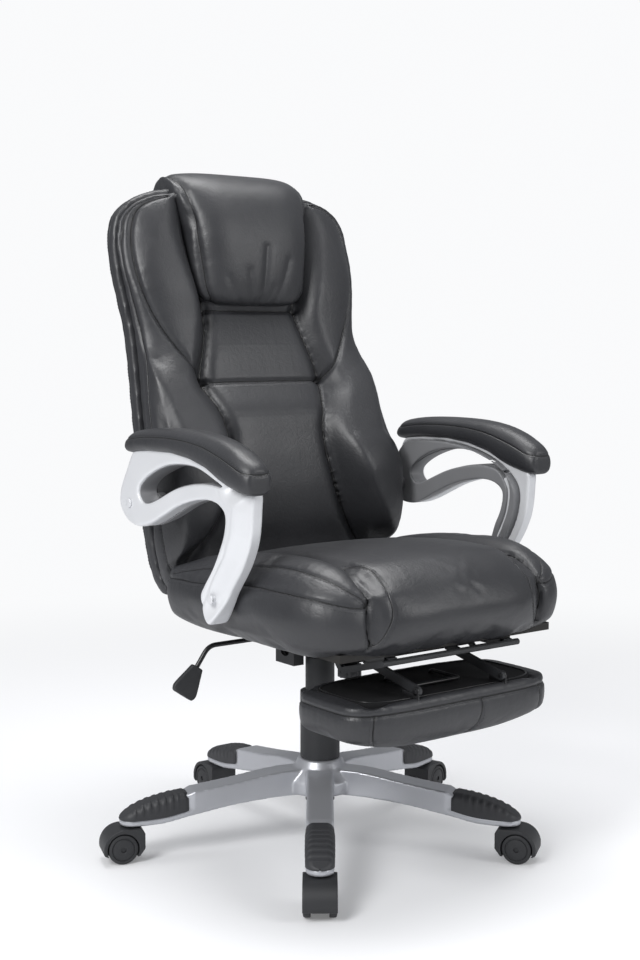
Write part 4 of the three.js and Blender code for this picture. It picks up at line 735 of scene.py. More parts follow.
deselect()
bpy.ops.mesh.primitive_grid_add(x_subdivisions=110, y_subdivisions=44, size=2)
pad = bpy.context.object
move_corners(pad, bent_over_leg(corners(pad)))
modify(pad, "SOLIDIFY", thickness=2.6 * MM, offset=-1)
face_out(pad)
smooth(pad, 50)
print("foot pad faces:", len(pad.data.polygons))
for number in range(leg_count):
    twin = copy_of(pad, f"foot_grip_{number + 1}", leg_turn(number))
    dress(twin, pad_plastic, "base", [f"foot_pad_{number + 1}"])
bpy.data.objects.remove(pad)

# %% [markdown]
# ## Casters
# Each caster has a hood over two wheels. The hood is a side view pushed through its width, with a round
# pocket cut for each wheel and its edges softened. The wheels are turned, with a groove round a plain
# hub cap.

# %% One caster, copied five times
caster_radius = leg_reach - tip_half
caster_trail = 19.5
wheel_radius = 25.0
hood_width = 53.0
hood_core = 13.2


def plate(name, outline, low, high):
    """An outline of (along, up) points in millimetres, filled and pushed through from low to high."""
    deselect()
    bpy.ops.mesh.primitive_circle_add(vertices=len(outline), radius=1, fill_type="NGON")
    piece = bpy.context.object
    piece.name = name
    move_corners(piece, [(a * MM, low * MM, b * MM) for a, b in outline])
    bpy.ops.object.mode_set(mode="EDIT")
    bpy.ops.mesh.select_all(action="SELECT")
    bpy.ops.mesh.extrude_region_move(TRANSFORM_OT_translate={"value": (0, (high - low) * MM, 0)})
    bpy.ops.object.mode_set(mode="OBJECT")
    return face_out(piece)


hood_radius = 32.5
hood_inner = 36.3
pocket_depth = 30.0
arc = [(hood_radius * math.cos(a), wheel_radius + hood_radius * math.sin(a))
       for a in np.linspace(math.radians(-14), math.radians(90), 22)]
hood_outline = [(-hood_inner, 24), (-27, 12), (20, 12)] + arc + [(-31, 57.5), (-hood_inner, 50)]
hood = plate("hood", hood_outline, -hood_width / 2, hood_width / 2)
for side in (-1, 1):
    deselect()
    bpy.ops.mesh.primitive_cylinder_add(
        vertices=64, radius=(wheel_radius + 1.4) * MM, depth=pocket_depth * MM,
        location=(0, side * (hood_core + pocket_depth / 2) * MM, wheel_radius * MM),
        rotation=(math.pi / 2, 0, 0),
    )
    cut(hood, settle(bpy.context.object), "EXACT")
even_out(hood, voxel=1.1, rounds=6)
deselect()
bpy.ops.mesh.primitive_cylinder_add(
    vertices=32, radius=4 * MM, depth=49 * MM, location=(0, 0, wheel_radius * MM),
    rotation=(math.pi / 2, 0, 0),
)
axle = settle(bpy.context.object)
hood = join([hood, axle], "hood")
smooth(hood, 60)

wheel_inner = hood_core + 0.8
wheel_outer = wheel_inner + 12
wheel = turned("wheel", [
    (4.3, wheel_inner), (24.2, wheel_inner), (wheel_radius, wheel_inner + 1),
    (wheel_radius, wheel_outer - 3.2), (24, wheel_outer - 1.2), (22, wheel_outer - 0.3),
    (19.4, wheel_outer), (18.9, wheel_outer - 1.6), (17.6, wheel_outer - 1.6), (17.1, wheel_outer - 0.2),
    (9, wheel_outer + 0.5), (4.3, wheel_outer + 0.6),
], sides=80, bevel=0.35)
places = corners(wheel)
move_corners(wheel, np.column_stack([places[:, 0], places[:, 2], -places[:, 1] + wheel_radius * MM]))
face_out(wheel)


def set_out(piece, name, number, mirror=False):
    twin = copy_of(piece, name)
    spots = corners(twin)
    if mirror:
        spots[:, 1] *= -1
    spots[:, 0] += (caster_radius + caster_trail) * MM
    cos, sin = math.cos(leg_turn(number)), math.sin(leg_turn(number))
    x, y = spots[:, 0] * cos - spots[:, 1] * sin, spots[:, 0] * sin + spots[:, 1] * cos
    move_corners(twin, np.column_stack([x, y, spots[:, 2]]))
    if mirror:
        face_out(twin)
    return twin


print("hood faces:", len(hood.data.polygons), "wheel faces:", len(wheel.data.polygons))
for number in range(leg_count):
    label = number + 1
    shell = set_out(hood, f"caster_shell_{label}", number)
    dress(shell, dark_plastic, f"caster_{label}", [f"caster_hood_{label}"])
    for letter, mirror in (("a", True), ("b", False)):
        roller = set_out(wheel, f"caster_roller_{label}{letter}", number, mirror)
        smooth(roller, 35)
        low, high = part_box(f"caster_wheel_{label}{letter}")
        middle = np.mean(corners(roller), axis=0)
        if np.any(middle < np.array(low) - 4 * MM) or np.any(middle > np.array(high) + 4 * MM):
            print("wheel", label, letter, "stands beside its node")
        dress(roller, dark_plastic, f"wheel_{label}{letter}", [f"caster_wheel_{label}{letter}"])
for spare in (hood, wheel):
    bpy.data.objects.remove(spare)

# %% [markdown]
# ## Leather cushions
# A cushion starts as a cube cut into many faces. Its top and bottom become two sheets with rounded
# corners, and its sides bulge. A voxel remesh evens out the faces, and a short cloth simulation with air
# pressure inside pulls the cover tight as foam does. Seams are sewn in afterwards: the cover is drawn in
# along each one, small gathers run away from it, and a row of stitches lies on each side. How far each
# point is from its seam is kept on the mesh, and the leather sinks along that line and is darkened there
# with painted shade.

# %% Cushion tools


def rounded_square(u, v, power):
    most = np.maximum(np.abs(u), np.abs(v))
    reach = (np.abs(u) ** power + np.abs(v) ** power) ** (1 / power)
    scale = np.where(most > 0, most / np.maximum(reach, 1e-9), 1)
    return u * scale, v * scale


def unit(ways):
    return ways / np.maximum(np.linalg.norm(ways, axis=1, keepdims=True), 1e-9)


def cushion(name, cuts, front, back, bulge, outward):
    """A cut cube bent between a front and a back sheet. outward gives the way its sides bulge."""
    deselect()
    bpy.ops.mesh.primitive_cube_add(size=2)
    piece = bpy.context.object
    piece.name = name
    bpy.ops.object.mode_set(mode="EDIT")
    bpy.ops.mesh.select_all(action="SELECT")
    bpy.ops.mesh.subdivide(number_cuts=cuts)
    bpy.ops.object.mode_set(mode="OBJECT")
    spots = corners(piece)
    u, v, w = spots[:, 0], spots[:, 1], spots[:, 2]
    share = ((w + 1) / 2)[:, None]
    placed = back(u, v) * (1 - share) + front(u, v) * share
    on_side = (np.maximum(np.abs(u), np.abs(v)) > 0.9999).astype(float)
    push = (bulge(u, v) if callable(bulge) else bulge) * np.cos(w * math.pi / 2) * on_side
    placed += outward(u, v) * push[:, None]
    move_corners(piece, placed * MM)
    return face_out(piece)


def swell(piece, pressure, cap):
    """Blows the cover up against its own cloth, and keeps each point within cap millimetres."""
    start = corners(piece)
    pick(piece)
    cloth = piece.modifiers.new("Cloth", "CLOTH")
    cloth.settings.quality = 5
    cloth.settings.mass = 0.4
    cloth.settings.tension_stiffness = 20
    cloth.settings.compression_stiffness = 20
    cloth.settings.shear_stiffness = 10
    cloth.settings.bending_stiffness = 1.0
    cloth.settings.use_pressure = True
    cloth.settings.uniform_pressure_force = pressure
    cloth.settings.effector_weights.gravity = 0
    for number in range(1, 21):
        scene.frame_set(number)
    view = bpy.context.evaluated_depsgraph_get()
    blown = piece.evaluated_get(view).to_mesh()
    flat = np.empty(len(blown.vertices) * 3)
    blown.vertices.foreach_get("co", flat)
    moved = flat.reshape(-1, 3) - start
    length = np.linalg.norm(moved, axis=1, keepdims=True)
    piece.modifiers.remove(cloth)
    scene.frame_set(1)
    move_corners(piece, start + moved * np.minimum(1, cap * MM / np.maximum(length, 1e-9)))
    print(piece.name, "swelled by up to", round(float(length.max()) * 1000, 1), "mm, cap", cap)
    return relax(piece, 5)


# %% Lines on a cushion, and sewing along them


def surface_of(piece):
    return BVHTree.FromObject(piece, bpy.context.evaluated_depsgraph_get())


def through(points, count=60):
    """A smooth line through a few given points."""
    points = np.asarray(points, dtype=float)
    legs_of_line = np.linalg.norm(np.diff(points, axis=0), axis=1)
    run = np.concatenate([[0], np.cumsum(legs_of_line)])
    at = np.linspace(0, run[-1], count)
    return np.column_stack([ease(np.column_stack([run, points[:, k]]), at) for k in range(points.shape[1])])


def laid_on(tree, line, spacing):
    """Spaces points evenly along a line in millimetres and drops them onto the nearest surface."""
    line = np.asarray(line, dtype=float) * MM
    legs_of_line = np.linalg.norm(np.diff(line, axis=0), axis=1)
    run = np.concatenate([[0], np.cumsum(legs_of_line)])
    count = max(int(run[-1] / (spacing * MM)), 2)
    along = np.linspace(0, run[-1], count + 1)
    spots = np.column_stack([np.interp(along, run, line[:, k]) for k in range(3)])
    found = [tree.find_nearest(Vector(spot)) for spot in spots]
    places = np.array([hit[0] for hit in found])
    normals = np.array([hit[1] for hit in found])
    for _ in range(int(128 / spacing**2)):
        places[1:-1] = (places[:-2] + 2 * places[1:-1] + places[2:]) / 4
        normals[1:-1] = (normals[:-2] + 2 * normals[1:-1] + normals[2:]) / 4
    return places, unit(normals), along


def sew(piece, seams, depth=2.6, width=3.2, puff=3.0, reach=20.0, gather=0.35, seed=1):
    """Draws the cover in along each seam, with gathers that run away from it.

    depth and width are those of the groove, puff and reach those of the soft hollow beside it, and
    gather is the height of the gathers, all in millimetres. A seam's own traits scale them.
    """
    tree = surface_of(piece)
    chance = np.random.default_rng(seed)
    spots = corners(piece)
    normals = np.empty(len(spots) * 3)
    piece.data.vertices.foreach_get("normal", normals)
    normals = normals.reshape(-1, 3)
    shift = np.zeros(len(spots))
    nearest = np.full(len(spots), 1000.0)
    aside = np.full(len(spots), 1000.0)
    for seam in seams:
        places, lies, along = laid_on(tree, seam["line"], 2.0)
        flanks = np.cross(lies, unit(np.gradient(places, axis=0)))
        near = KDTree(len(places))
        for number, place_found in enumerate(places):
            near.insert(place_found, number)
        near.balance()
        spread = reach * seam.get("spread", 1.0)
        margin = 3.0 * spread * MM
        low, high = places.min(axis=0) - margin, places.max(axis=0) + margin
        close = np.where(np.all((spots > low) & (spots < high), axis=1))[0]
        pairs = [near.find(spots[number])[1:] for number in close]
        order = np.array([pair[0] for pair in pairs], dtype=int)
        away = np.array([pair[1] for pair in pairs]) / MM
        run = along[order] / MM
        waves = np.zeros(len(close))
        for length in (17.0, 27.0, 43.0):
            phase = chance.uniform(0, 2 * math.pi)
            waves += np.sin(2 * math.pi * run / length + phase) / 2
        scale = seam.get("scale", 1.0)
        fade = np.exp(-away / (spread * 0.7)) * (1 - np.exp(-((away / 5.0) ** 2)))
        part = -depth * scale * np.exp(-((away / width) ** 2))
        part += -puff * scale * np.exp(-away / spread)
        part += gather * seam.get("gather", 1.0) * waves * fade
        shift[close] += part
        if seam.get("sewn", True):
            better = away < nearest[close]
            nearest[close[better]] = away[better]
            offset = ((spots[close] - places[order]) * flanks[order]).sum(axis=1) / MM
            aside[close[better]] = offset[better]
    move_corners(piece, spots + normals * shift[:, None] * MM)
    for name, values in (("seam_side", aside), ("seam_near", np.clip(1.6 - nearest / 4.0, 0, 1))):
        kept = piece.data.attributes.new(name, "FLOAT", "POINT")
        kept.data.foreach_set("value", values)
    return piece


def stitches(name, piece, seams, spacing=5.6, length=3.8, thick=0.75):
    """One stitch is modelled as a small bead, and copied along both sides of every seam."""
    deselect()
    bpy.ops.mesh.primitive_uv_sphere_add(segments=6, ring_count=4, radius=0.5)
    bead = bpy.context.object
    bead_spots = corners(bead) * [thick * MM, thick * MM, length * MM]
    bead_faces = np.array([face.vertices[:] for face in bead.data.polygons if len(face.vertices) == 4])
    bead_caps = np.array([face.vertices[:] for face in bead.data.polygons if len(face.vertices) == 3])
    bpy.data.objects.remove(bead)
    tree = surface_of(piece)
    verts, faces = [], []
    for seam in seams:
        if not seam.get("sewn", True):
            continue
        places, normals, _ = laid_on(tree, seam["line"], spacing)
        tangents = unit(np.gradient(places, axis=0))
        sides = np.cross(normals, tangents)
        for offset in seam.get("rows", (-3.6, 3.6)):
            for number in range(1, len(places) - 1):
                hit, normal, _, _ = tree.find_nearest(Vector(places[number] + sides[number] * offset * MM))
                normal = np.array(normal)
                run = tangents[number] - normal * np.dot(tangents[number], normal)
                run /= max(np.linalg.norm(run), 1e-9)
                basis = np.array([normal, np.cross(run, normal), run])
                first = len(verts) * len(bead_spots)
                verts.append(bead_spots @ basis + np.array(hit) + normal * thick * 0.12 * MM)
                faces += (bead_faces + first).tolist() + (bead_caps + first).tolist()
    mesh = bpy.data.meshes.new(name)
    mesh.from_pydata(np.concatenate(verts).tolist(), [], faces)
    rows = bpy.data.objects.new(name, mesh)
    bpy.context.collection.objects.link(rows)
    return smooth(face_out(rows), 80)


def upholstered(piece, seams, body, replaced, fill=0.8, **sewing):
    sew(piece, seams, **sewing)
    smooth(piece, 70)
    dress(piece, leather, body, replaced)
    rows = stitches(piece.name + "_stitches", piece, seams)
    dress(rows, thread, body, ())
    print(piece.name, "faces:", len(piece.data.polygons), "stitch faces:", len(rows.data.polygons))
    return piece


# %% [markdown]
# ## The seat
# The seat is a thick cushion with a raised bolster along each side and a flatter panel between them.
# A deep fold parts the panel from each bolster and runs down the front face, beside a seam that shapes
# the panel's rounded nose. Two seams run along each bolster and meet in points at its ends.

# %% Seat cushion
seat_half = 260.0
seat_front, seat_rear = -366.0, 108.0
seat_middle = (seat_front + seat_rear) / 2
seat_half_depth = (seat_rear - seat_front) / 2
seat_under = 390.0
seat_edge = 494.0
seat_lift = 26.0
bolster_top, bolster_fall = 541.0, 26.0
panel_top, panel_fall, panel_crown = 527.0, 22.0, 6.5
panel_half = 158.0
fold_dip = 10.0
side_bulge, nose_bulge, nose_half = 9.0, 12.0, 150.0
corner_fold, corner_fold_at, corner_fold_width = 8.0, 172.0, 10.0
front_corner, rear_corner = 4.6, 9.0


def seat_corner(v):
    return np.where(v > 0, rear_corner, front_corner)


def seat_plan(u, v):
    a, b = rounded_square(u, v, seat_corner(v))
    return seat_half * a, seat_middle + seat_half_depth * b


def seat_top(u, v):
    x, y = seat_plan(u, v)
    back = (y - (seat_middle - seat_half_depth * 0.47)) / seat_half_depth
    side = np.abs(x)
    rise = step(panel_half, panel_half * 1.3, side)
    dip = np.exp(-(((side - panel_half) / (panel_half * 0.07)) ** 2))
    bolster = bolster_top - bolster_fall * back * back
    panel = panel_top - panel_fall * np.maximum(back, 0) * back
    crown = np.maximum((1 - (side / panel_half) ** 2) * panel_crown, 0) * (1 - rise)
    height = panel * (1 - rise) + bolster * rise - fold_dip * dip + crown
    hold = 1 - np.maximum(np.abs(u), np.abs(v)) ** 7
    return np.column_stack([x, y, seat_edge + (height - seat_edge) * hold])


def seat_bottom(u, v):
    x, y = seat_plan(u, v)
    most = np.maximum(np.abs(u), np.abs(v))
    return np.column_stack([x, y, seat_under + seat_lift * most**8])


def seat_outward(u, v):
    power = seat_corner(v)
    a, b = rounded_square(u, v, power)
    across = np.sign(a) * np.abs(a) ** (power - 1)
    along = np.sign(b) * np.abs(b) ** (power - 1)
    return unit(np.column_stack([across, along, a * 0]))


def seat_bulge(u, v):
    """The sides bulge a little, the panel's nose more, and the folds beside it not at all."""
    side = np.abs(seat_plan(u, v)[0])
    nose = nose_bulge * (1 - (side / nose_half) ** 4) * (side < nose_half)
    fold = corner_fold * np.exp(-(((side - corner_fold_at) / corner_fold_width) ** 2))
    return side_bulge + np.where(v < -0.9999, nose - fold, 0)


seat = cushion("seat_upholstery", 80, seat_top, seat_bottom, seat_bulge, seat_outward)
even_out(seat, voxel=5.0)
swell(seat, pressure=3.0, cap=6.0)
spots = corners(seat)
on_board = np.maximum(spots[:, 2], seat_under * MM)
move_corners(seat, np.column_stack([spots[:, :2], on_board]))
refine(seat)

fold_line = [
    (160, 104, 505), (160, 0, 520), (159, -140, 522), (161, -262, 522), (168, -305, 517), (171, -338, 506),
    (173, -358, 486), (174, -365, 462), (174, -366, 440), (173, -362, 418), (172, -350, 404),
]
nose_line = [
    (160, -252, 523), (146, -276, 525), (139, -303, 523), (139, -334, 512), (142, -360, 497),
    (144, -374, 478), (147, -378, 462), (152, -376, 446), (160, -369, 428), (170, -358, 410),
]
upper_line = [
    (262, 60, 486), (252, -5, 501), (241, -90, 510), (234, -151, 517), (229, -190, 520), (226, -232, 521),
    (219, -285, 516), (203, -329, 507), (186, -352, 495), (178, -362, 482),
]
lower_line = [
    (0, 118, 474), (140, 118, 474), (225, 112, 474), (262, 80, 475), (266, 30, 478), (267, -56, 484),
    (266, -120, 491), (264, -166, 495), (260, -242, 494), (248, -302, 490), (226, -338, 484),
    (198, -358, 479), (178, -364, 479),
]
seam_kinds = (
    (fold_line, {"scale": 2.1, "gather": 0.5, "rows": (-3.8,)}),
    (nose_line, {"scale": 0.35, "spread": 0.6}),
    (upper_line, {"scale": 0.6}),
    (lower_line, {"scale": 0.7, "gather": 0.7}),
)
seat_seams = []
for side in (-1, 1):
    for line, traits in seam_kinds:
        seat_seams.append({"line": through(line) * [side, 1, 1], **traits})
upholstered(seat, seat_seams, "seat_and_back", ["seat_cushion"], fill=0.85, seed=3)

# %% [markdown]
# ## The back
# The back is a thin padded shell behind and a deep sculpted cushion in front. The front has a narrow
# middle panel, a leaf-shaped wing on each side of the headrest, and deep rolls beside the sitter's
# waist. Its depth is read from tables of shares of the height, the same as in the CAD solid.

# %% Back shape
back_foot, back_top, back_shoulder = 422.0, 1128.0, 1030.0
back_height = back_top - back_foot
back_half = 250.0
back_rear_foot, back_lean = 181.0, 115.0
shell_thick = 43.0
boxing = 32.0
back_fold_dip = 10.0
rear_shares = [
    (0, 0.02), (0.06, 0.17), (0.173, 0.31), (0.423, 0.54), (0.638, 0.75), (0.824, 0.97), (0.912, 1.02),
    (1, 0.93),
]
width_shares = [(0, 0.88), (0.15, 0.93), (0.432, 0.94), (0.628, 0.945), (0.804, 1), (1, 1)]
panel_front_shares = [
    (0, 1.1), (0.109, 1.5), (0.178, 2.05), (0.251, 2.37), (0.315, 2.45), (0.374, 2.43), (0.447, 2.3),
    (0.518, 1.56), (0.609, 1.2), (0.694, 0.91), (0.804, 0.95), (0.902, 1), (1, 0.9),
]
bolster_front_shares = [
    (0, 2.3), (0.07, 2.8), (0.112, 3.25), (0.156, 3.76), (0.199, 4.09), (0.252, 4.23), (0.303, 4.3),
    (0.354, 3.99), (0.396, 3.47), (0.448, 2.99), (0.499, 2.55), (0.56, 1.95), (0.609, 1.65), (0.667, 1.55),
    (0.746, 1.7), (0.804, 1.65), (0.902, 1.35), (1, 0.9),
]
panel_half_shares = [
    (0, 0.8), (0.08, 0.76), (0.16, 0.6), (0.21, 0.53), (0.28, 0.46), (0.34, 0.42), (0.4, 0.41),
    (0.467, 0.46), (0.518, 0.51), (0.62, 0.43), (0.694, 0.39), (0.82, 0.46), (1, 0.56),
]
print("back height and width:", back_height, 2 * back_half)


def back_ends(u):
    """The lowest and highest point of the back at this share of its half width."""
    u = np.minimum(np.abs(u), 1)
    low = back_foot + back_height * 0.045 * (1 - (1 - u**6) ** (1 / 6))
    return low, back_shoulder + (back_top - back_shoulder) * (1 - u**3.5) ** 0.4


def back_plan(u, v):
    low, high = back_ends(u)
    z = low + (high - low) * v
    share = (z - back_foot) / back_height
    return back_half * ease(width_shares, share) * u, z, share


def rear_face(share):
    return back_rear_foot + back_lean * ease(rear_shares, share)


def back_rear(u, w):
    x, z, share = back_plan(u, (w + 1) / 2)
    most = np.maximum(np.abs(u), np.abs(w))
    return np.column_stack([x, rear_face(share) - shell_thick * 0.36 * most**9, z])


def back_meeting(offset):
    def sheet(u, w):
        x, z, share = back_plan(u, (w + 1) / 2)
        return np.column_stack([x, rear_face(share) - shell_thick + offset, z])
    return sheet


def back_front(u, w):
    x, z, share = back_plan(u, (w + 1) / 2)
    half = back_half * ease(panel_half_shares, share)
    side = np.abs(x)
    rise = step(half, half * 1.35, side)
    dip = back_fold_dip * np.exp(-(((side - half) / (half * 0.09)) ** 2))
    panel_depth = boxing * ease(panel_front_shares, share)
    bolster_depth = boxing * ease(bolster_front_shares, share)
    depth = panel_depth * (1 - rise) + bolster_depth * rise - dip
    edge = (0.08 + 0.54 * step(0.53, 0.648, share)) * np.abs(u) ** 7
    end = 0.35 * np.abs(w) ** 16
    return np.column_stack([x, rear_face(share) - shell_thick - depth * (1 - edge) * (1 - end), z])


def back_outward(u, w):
    across = np.sign(u) * (np.abs(u) > 0.9999)
    upward = np.sign(w) * (np.abs(w) > 0.9999)
    return unit(np.column_stack([across, u * 0, upward]))


# %% Back shell and back cushion
shell = cushion("back_shell_upholstery", 70, back_meeting(0.2), back_rear, 2.0, back_outward)
even_out(shell, voxel=6.5)
refine(shell)


def back_edge(offset):
    """A line round the side band of the back, from foot to foot over the top."""
    up_one_side = [(-1.02, w) for w in np.linspace(-0.95, 0.97, 60)]
    over_the_top = [(u, 1.03) for u in np.linspace(-0.97, 0.97, 40)]
    down_the_other = [(1.02, w) for w in np.linspace(0.97, -0.95, 60)]
    ring = []
    for u, w in up_one_side + over_the_top + down_the_other:
        spot = back_meeting(0)(np.array([u]), np.array([w]))[0]
        deeper = 1 + 1.4 * float(step(0.8, 0.4, (spot[2] - back_foot) / back_height)) * (offset < 0)
        ring.append(spot + [0, offset * deeper, 0])
    return ring


shell_seams = [{"line": back_edge(22.0), "gather": 0.4}]
upholstered(shell, shell_seams, "seat_and_back", ["back_shell"], fill=0.5, puff=1.0, gather=0.4, seed=5)

back = cushion("back_upholstery", 90, back_front, back_meeting(-0.2), 3.0, back_outward)
even_out(back, voxel=5.0)
swell(back, pressure=2.5, cap=5.0)
refine(back)


def on_front(x, z):
    """The point of the back's front at this side and height."""
    share = (z - back_foot) / back_height
    u = min(max(x / float(back_half * ease(width_shares, share)), -1), 1)
    low, high = back_ends(u)
    spot = back_front(np.array([u]), np.array([2 * (z - low) / (high - low) - 1]))[0]
    return x, spot[1], z


middle_line = [(float(back_half * ease(panel_half_shares, (z - back_foot) / back_height)), z)
               for z in np.linspace(1100, 440, 50)]
wing_line = through([
    (150, 1112), (180, 1106), (204, 1096), (219, 1082), (228, 1060), (233, 1035), (234, 1000), (230, 967),
    (223, 939), (212, 911), (196, 880), (172, 843), (150, 815), (127, 788),
])
back_seam_kinds = (
    (middle_line, {"scale": 1.3, "gather": 0.0, "rows": ()}),
    (wing_line, {"scale": 1.5}),
)
back_seams = []
for side in (-1, 1):
    for points, traits in back_seam_kinds:
        back_seams.append({"line": [on_front(side * x, z) for x, z in points], **traits})
for height, half in ((912, 97), (788, 127)):
    cross_line = [on_front(x, height) for x in np.linspace(-half, half, 30)]
    back_seams.append({"line": cross_line, "gather": 0.5, "scale": 1.3, "rows": (-3.6,)})
back_seams.append({"line": back_edge(-20.0), "gather": 0.7, "scale": 0.8})
upholstered(back, back_seams, "seat_and_back", ["back_cushion"], fill=0.8, width=4.4, seed=11)

# %% [markdown]
# ## The headrest pillow
# A flat pillow hangs over the top of the back like a saddle. Its front is full and smooth, its sides are
# sewn to narrow gussets, and it ends in a seam across the middle panel. Soft creases rise from there.

# %% Pillow
pillow_shares = [
    (0, 0.175, 0.008, 0.69, 0.5), (0.07, 0.062, 0.033, 0.7, 0.5), (0.15, 0.012, 0.142, 0.79, 0.55),
    (0.27, 0, 0.351, 0.84, 0.58), (0.39, 0.025, 0.561, 0.88, 0.55), (0.52, 0.12, 0.762, 0.91, 0.45),
    (0.64, 0.262, 0.904, 0.97, 0.32), (0.74, 0.456, 0.979, 1, 0.24), (0.83, 0.688, 1, 1, 0.1),
    (0.91, 0.888, 0.962, 0.98, 0.06), (0.965, 1, 0.854, 0.97, 0.06), (1, 0.969, 0.753, 0.96, 0.1),
]
pillow_half, pillow_foot, pillow_height = 140.0, 916.0, 239.0
pillow_front, pillow_deep, pillow_inset, pillow_lean = 170.0, 160.0, 44.0, 66.0


def pillow_inner(u, w):
    v = (w + 1) / 2
    width = pillow_half * ease(pillow_shares, v, 3)
    height = 0.03 + 0.7 * step(0, 0.85, v)
    depth = pillow_front + pillow_inset + pillow_lean * height
    return np.column_stack([width * u, depth, pillow_foot + pillow_height * height])


def pillow_outer(u, w):
    v = (w + 1) / 2
    width = pillow_half * ease(pillow_shares, v, 3)
    depth = pillow_front + pillow_deep * ease(pillow_shares, v, 1)
    level = pillow_foot + pillow_height * ease(pillow_shares, v, 2)
    centre = np.column_stack([width * u, depth, level])
    soften = (ease(pillow_shares, v, 4) * np.abs(u) ** 5)[:, None]
    return centre * (1 - soften) + pillow_inner(u, w) * soften


pillow = cushion("headrest_upholstery", 60, pillow_outer, pillow_inner, 3.0, back_outward)
even_out(pillow, voxel=4.5)
swell(pillow, pressure=3.0, cap=5.0)
refine(pillow)


def on_pillow(u, w):
    return tuple(pillow_outer(np.array([u]), np.array([w]))[0])


pillow_seams = []
for side in (-1, 1):
    gusset = [on_pillow(side * 0.93, w) for w in np.linspace(-0.97, 0.97, 60)]
    pillow_seams.append({"line": gusset, "gather": 1.1})
crease_foot = -0.86
creases = (
    (0.02, 0.10, -0.35, 0.6), (-0.16, -0.22, -0.55, 0.35), (0.3, 0.5, -0.45, 0.4),
    (-0.42, -0.6, -0.6, 0.3), (0.14, 0.24, -0.68, 0.3),
)
for start, end, top, depth in creases:
    line = [on_pillow(start + (end - start) * t, crease_foot + (top - crease_foot) * t)
            for t in np.linspace(0, 1, 14)]
    pillow_seams.append({"line": line, "scale": depth, "gather": 0.0, "spread": 0.35, "sewn": False})
upholstered(pillow, pillow_seams, "seat_and_back", ["headrest_pillow"], fill=0.7, width=8.0, seed=21)

# %% [markdown]
# ## Armrests
# Each armrest is a looped moulding: a silver outer shell, a darker cover inside and a leather pad on top.
# The side view is a closed curve with a long slot. The shell is filled between them and pushed
# sideways, then remeshed so that its front edge can be slanted towards the seat as on the real one.
# The cover leaves the silver bare along the top and the front. Its slot runs on down the front post,
# where a silver trim shows in it, and a sleeve of the cover lines the slot of the shell.

# %% Armrest outlines
arm_rear, arm_length, arm_foot, arm_height = 142.0, 364.0, 430.0, 254.0
arm_outer, arm_split, arm_inner = 307.0, 279.0, 270.0
groove_depth, slit_depth, groove_width = 1.2, 3.4, 2.2
post_swell = 10.0
cap_radius, cap_thick, cap_proud, shank_radius, shank_length = 7.3, 2.6, 1.7, 4.0, 96.0
spacer_radius = 13.0
bolts = (("rear", 108, 596, 236), ("front", -134, 471, 262))
frame_shares = [
    (0.13, 0.996), (0.264, 1.02), (0.445, 1.024), (0.6, 1), (0.735, 0.953), (0.832, 0.89), (0.9, 0.859),
    (0.997, 0.828), (1, 0.7), (0.983, 0.535), (0.928, 0.374), (0.833, 0.2), (0.765, 0.04),
    (0.734, 0), (0.7, 0.03), (0.682, 0.1), (0.673, 0.173), (0.695, 0.224), (0.764, 0.343), (0.813, 0.453),
    (0.854, 0.575), (0.86, 0.677), (0.816, 0.728), (0.733, 0.748), (0.615, 0.728), (0.495, 0.681),
    (0.385, 0.614), (0.275, 0.547), (0.198, 0.516), (0.12, 0.516), (0.055, 0.551), (0.003, 0.63),
    (0.006, 0.728), (0.06, 0.862),
]
slot_shares = [
    (0.165, 0.72), (0.17, 0.764), (0.242, 0.839), (0.39, 0.917), (0.514, 0.94), (0.635, 0.935),
    (0.75, 0.89), (0.84, 0.835), (0.733, 0.842), (0.615, 0.83), (0.478, 0.787),
    (0.313, 0.697), (0.247, 0.669), (0.2, 0.669),
]


def arm_point(pair):
    return arm_rear - arm_length * pair[0], arm_foot + arm_height * pair[1]


# %% Closed curves and flat mouldings


def loop_through(pairs, steps=6):
    """A smooth closed loop through given points."""
    spots = np.array([arm_point(pair) for pair in pairs])
    count = len(spots)
    loop = []
    for number in range(count):
        p0, p1, p2, p3 = (spots[(number + k) % count] for k in (-1, 0, 1, 2))
        d1, d2, d3 = (max(np.linalg.norm(b - a), 1e-6) ** 0.5 for a, b in ((p0, p1), (p1, p2), (p2, p3)))
        m1 = (p1 - p0) / d1 - (p2 - p0) / (d1 + d2) + (p2 - p1) / d2
        m2 = (p2 - p1) / d2 - (p3 - p1) / (d2 + d3) + (p3 - p2) / d3
        for t in np.arange(steps) / steps:
            h = (2 * t**3 - 3 * t**2 + 1, t**3 - 2 * t**2 + t, -2 * t**3 + 3 * t**2, t**3 - t**2)
            loop.append(h[0] * p1 + h[1] * m1 * d2 + h[2] * p2 + h[3] * m2 * d2)
    return loop


def inset_loop(loop, amount):
    """Moves a closed loop of points towards its inside by this many millimetres."""
    spots = np.array(loop)
    run = unit(np.roll(spots, -1, axis=0) - np.roll(spots, 1, axis=0))
    area = np.sum(spots[:, 0] * np.roll(spots[:, 1], -1) - spots[:, 1] * np.roll(spots[:, 0], -1))
    return list(spots + np.column_stack([-run[:, 1], run[:, 0]]) * np.sign(area) * amount)


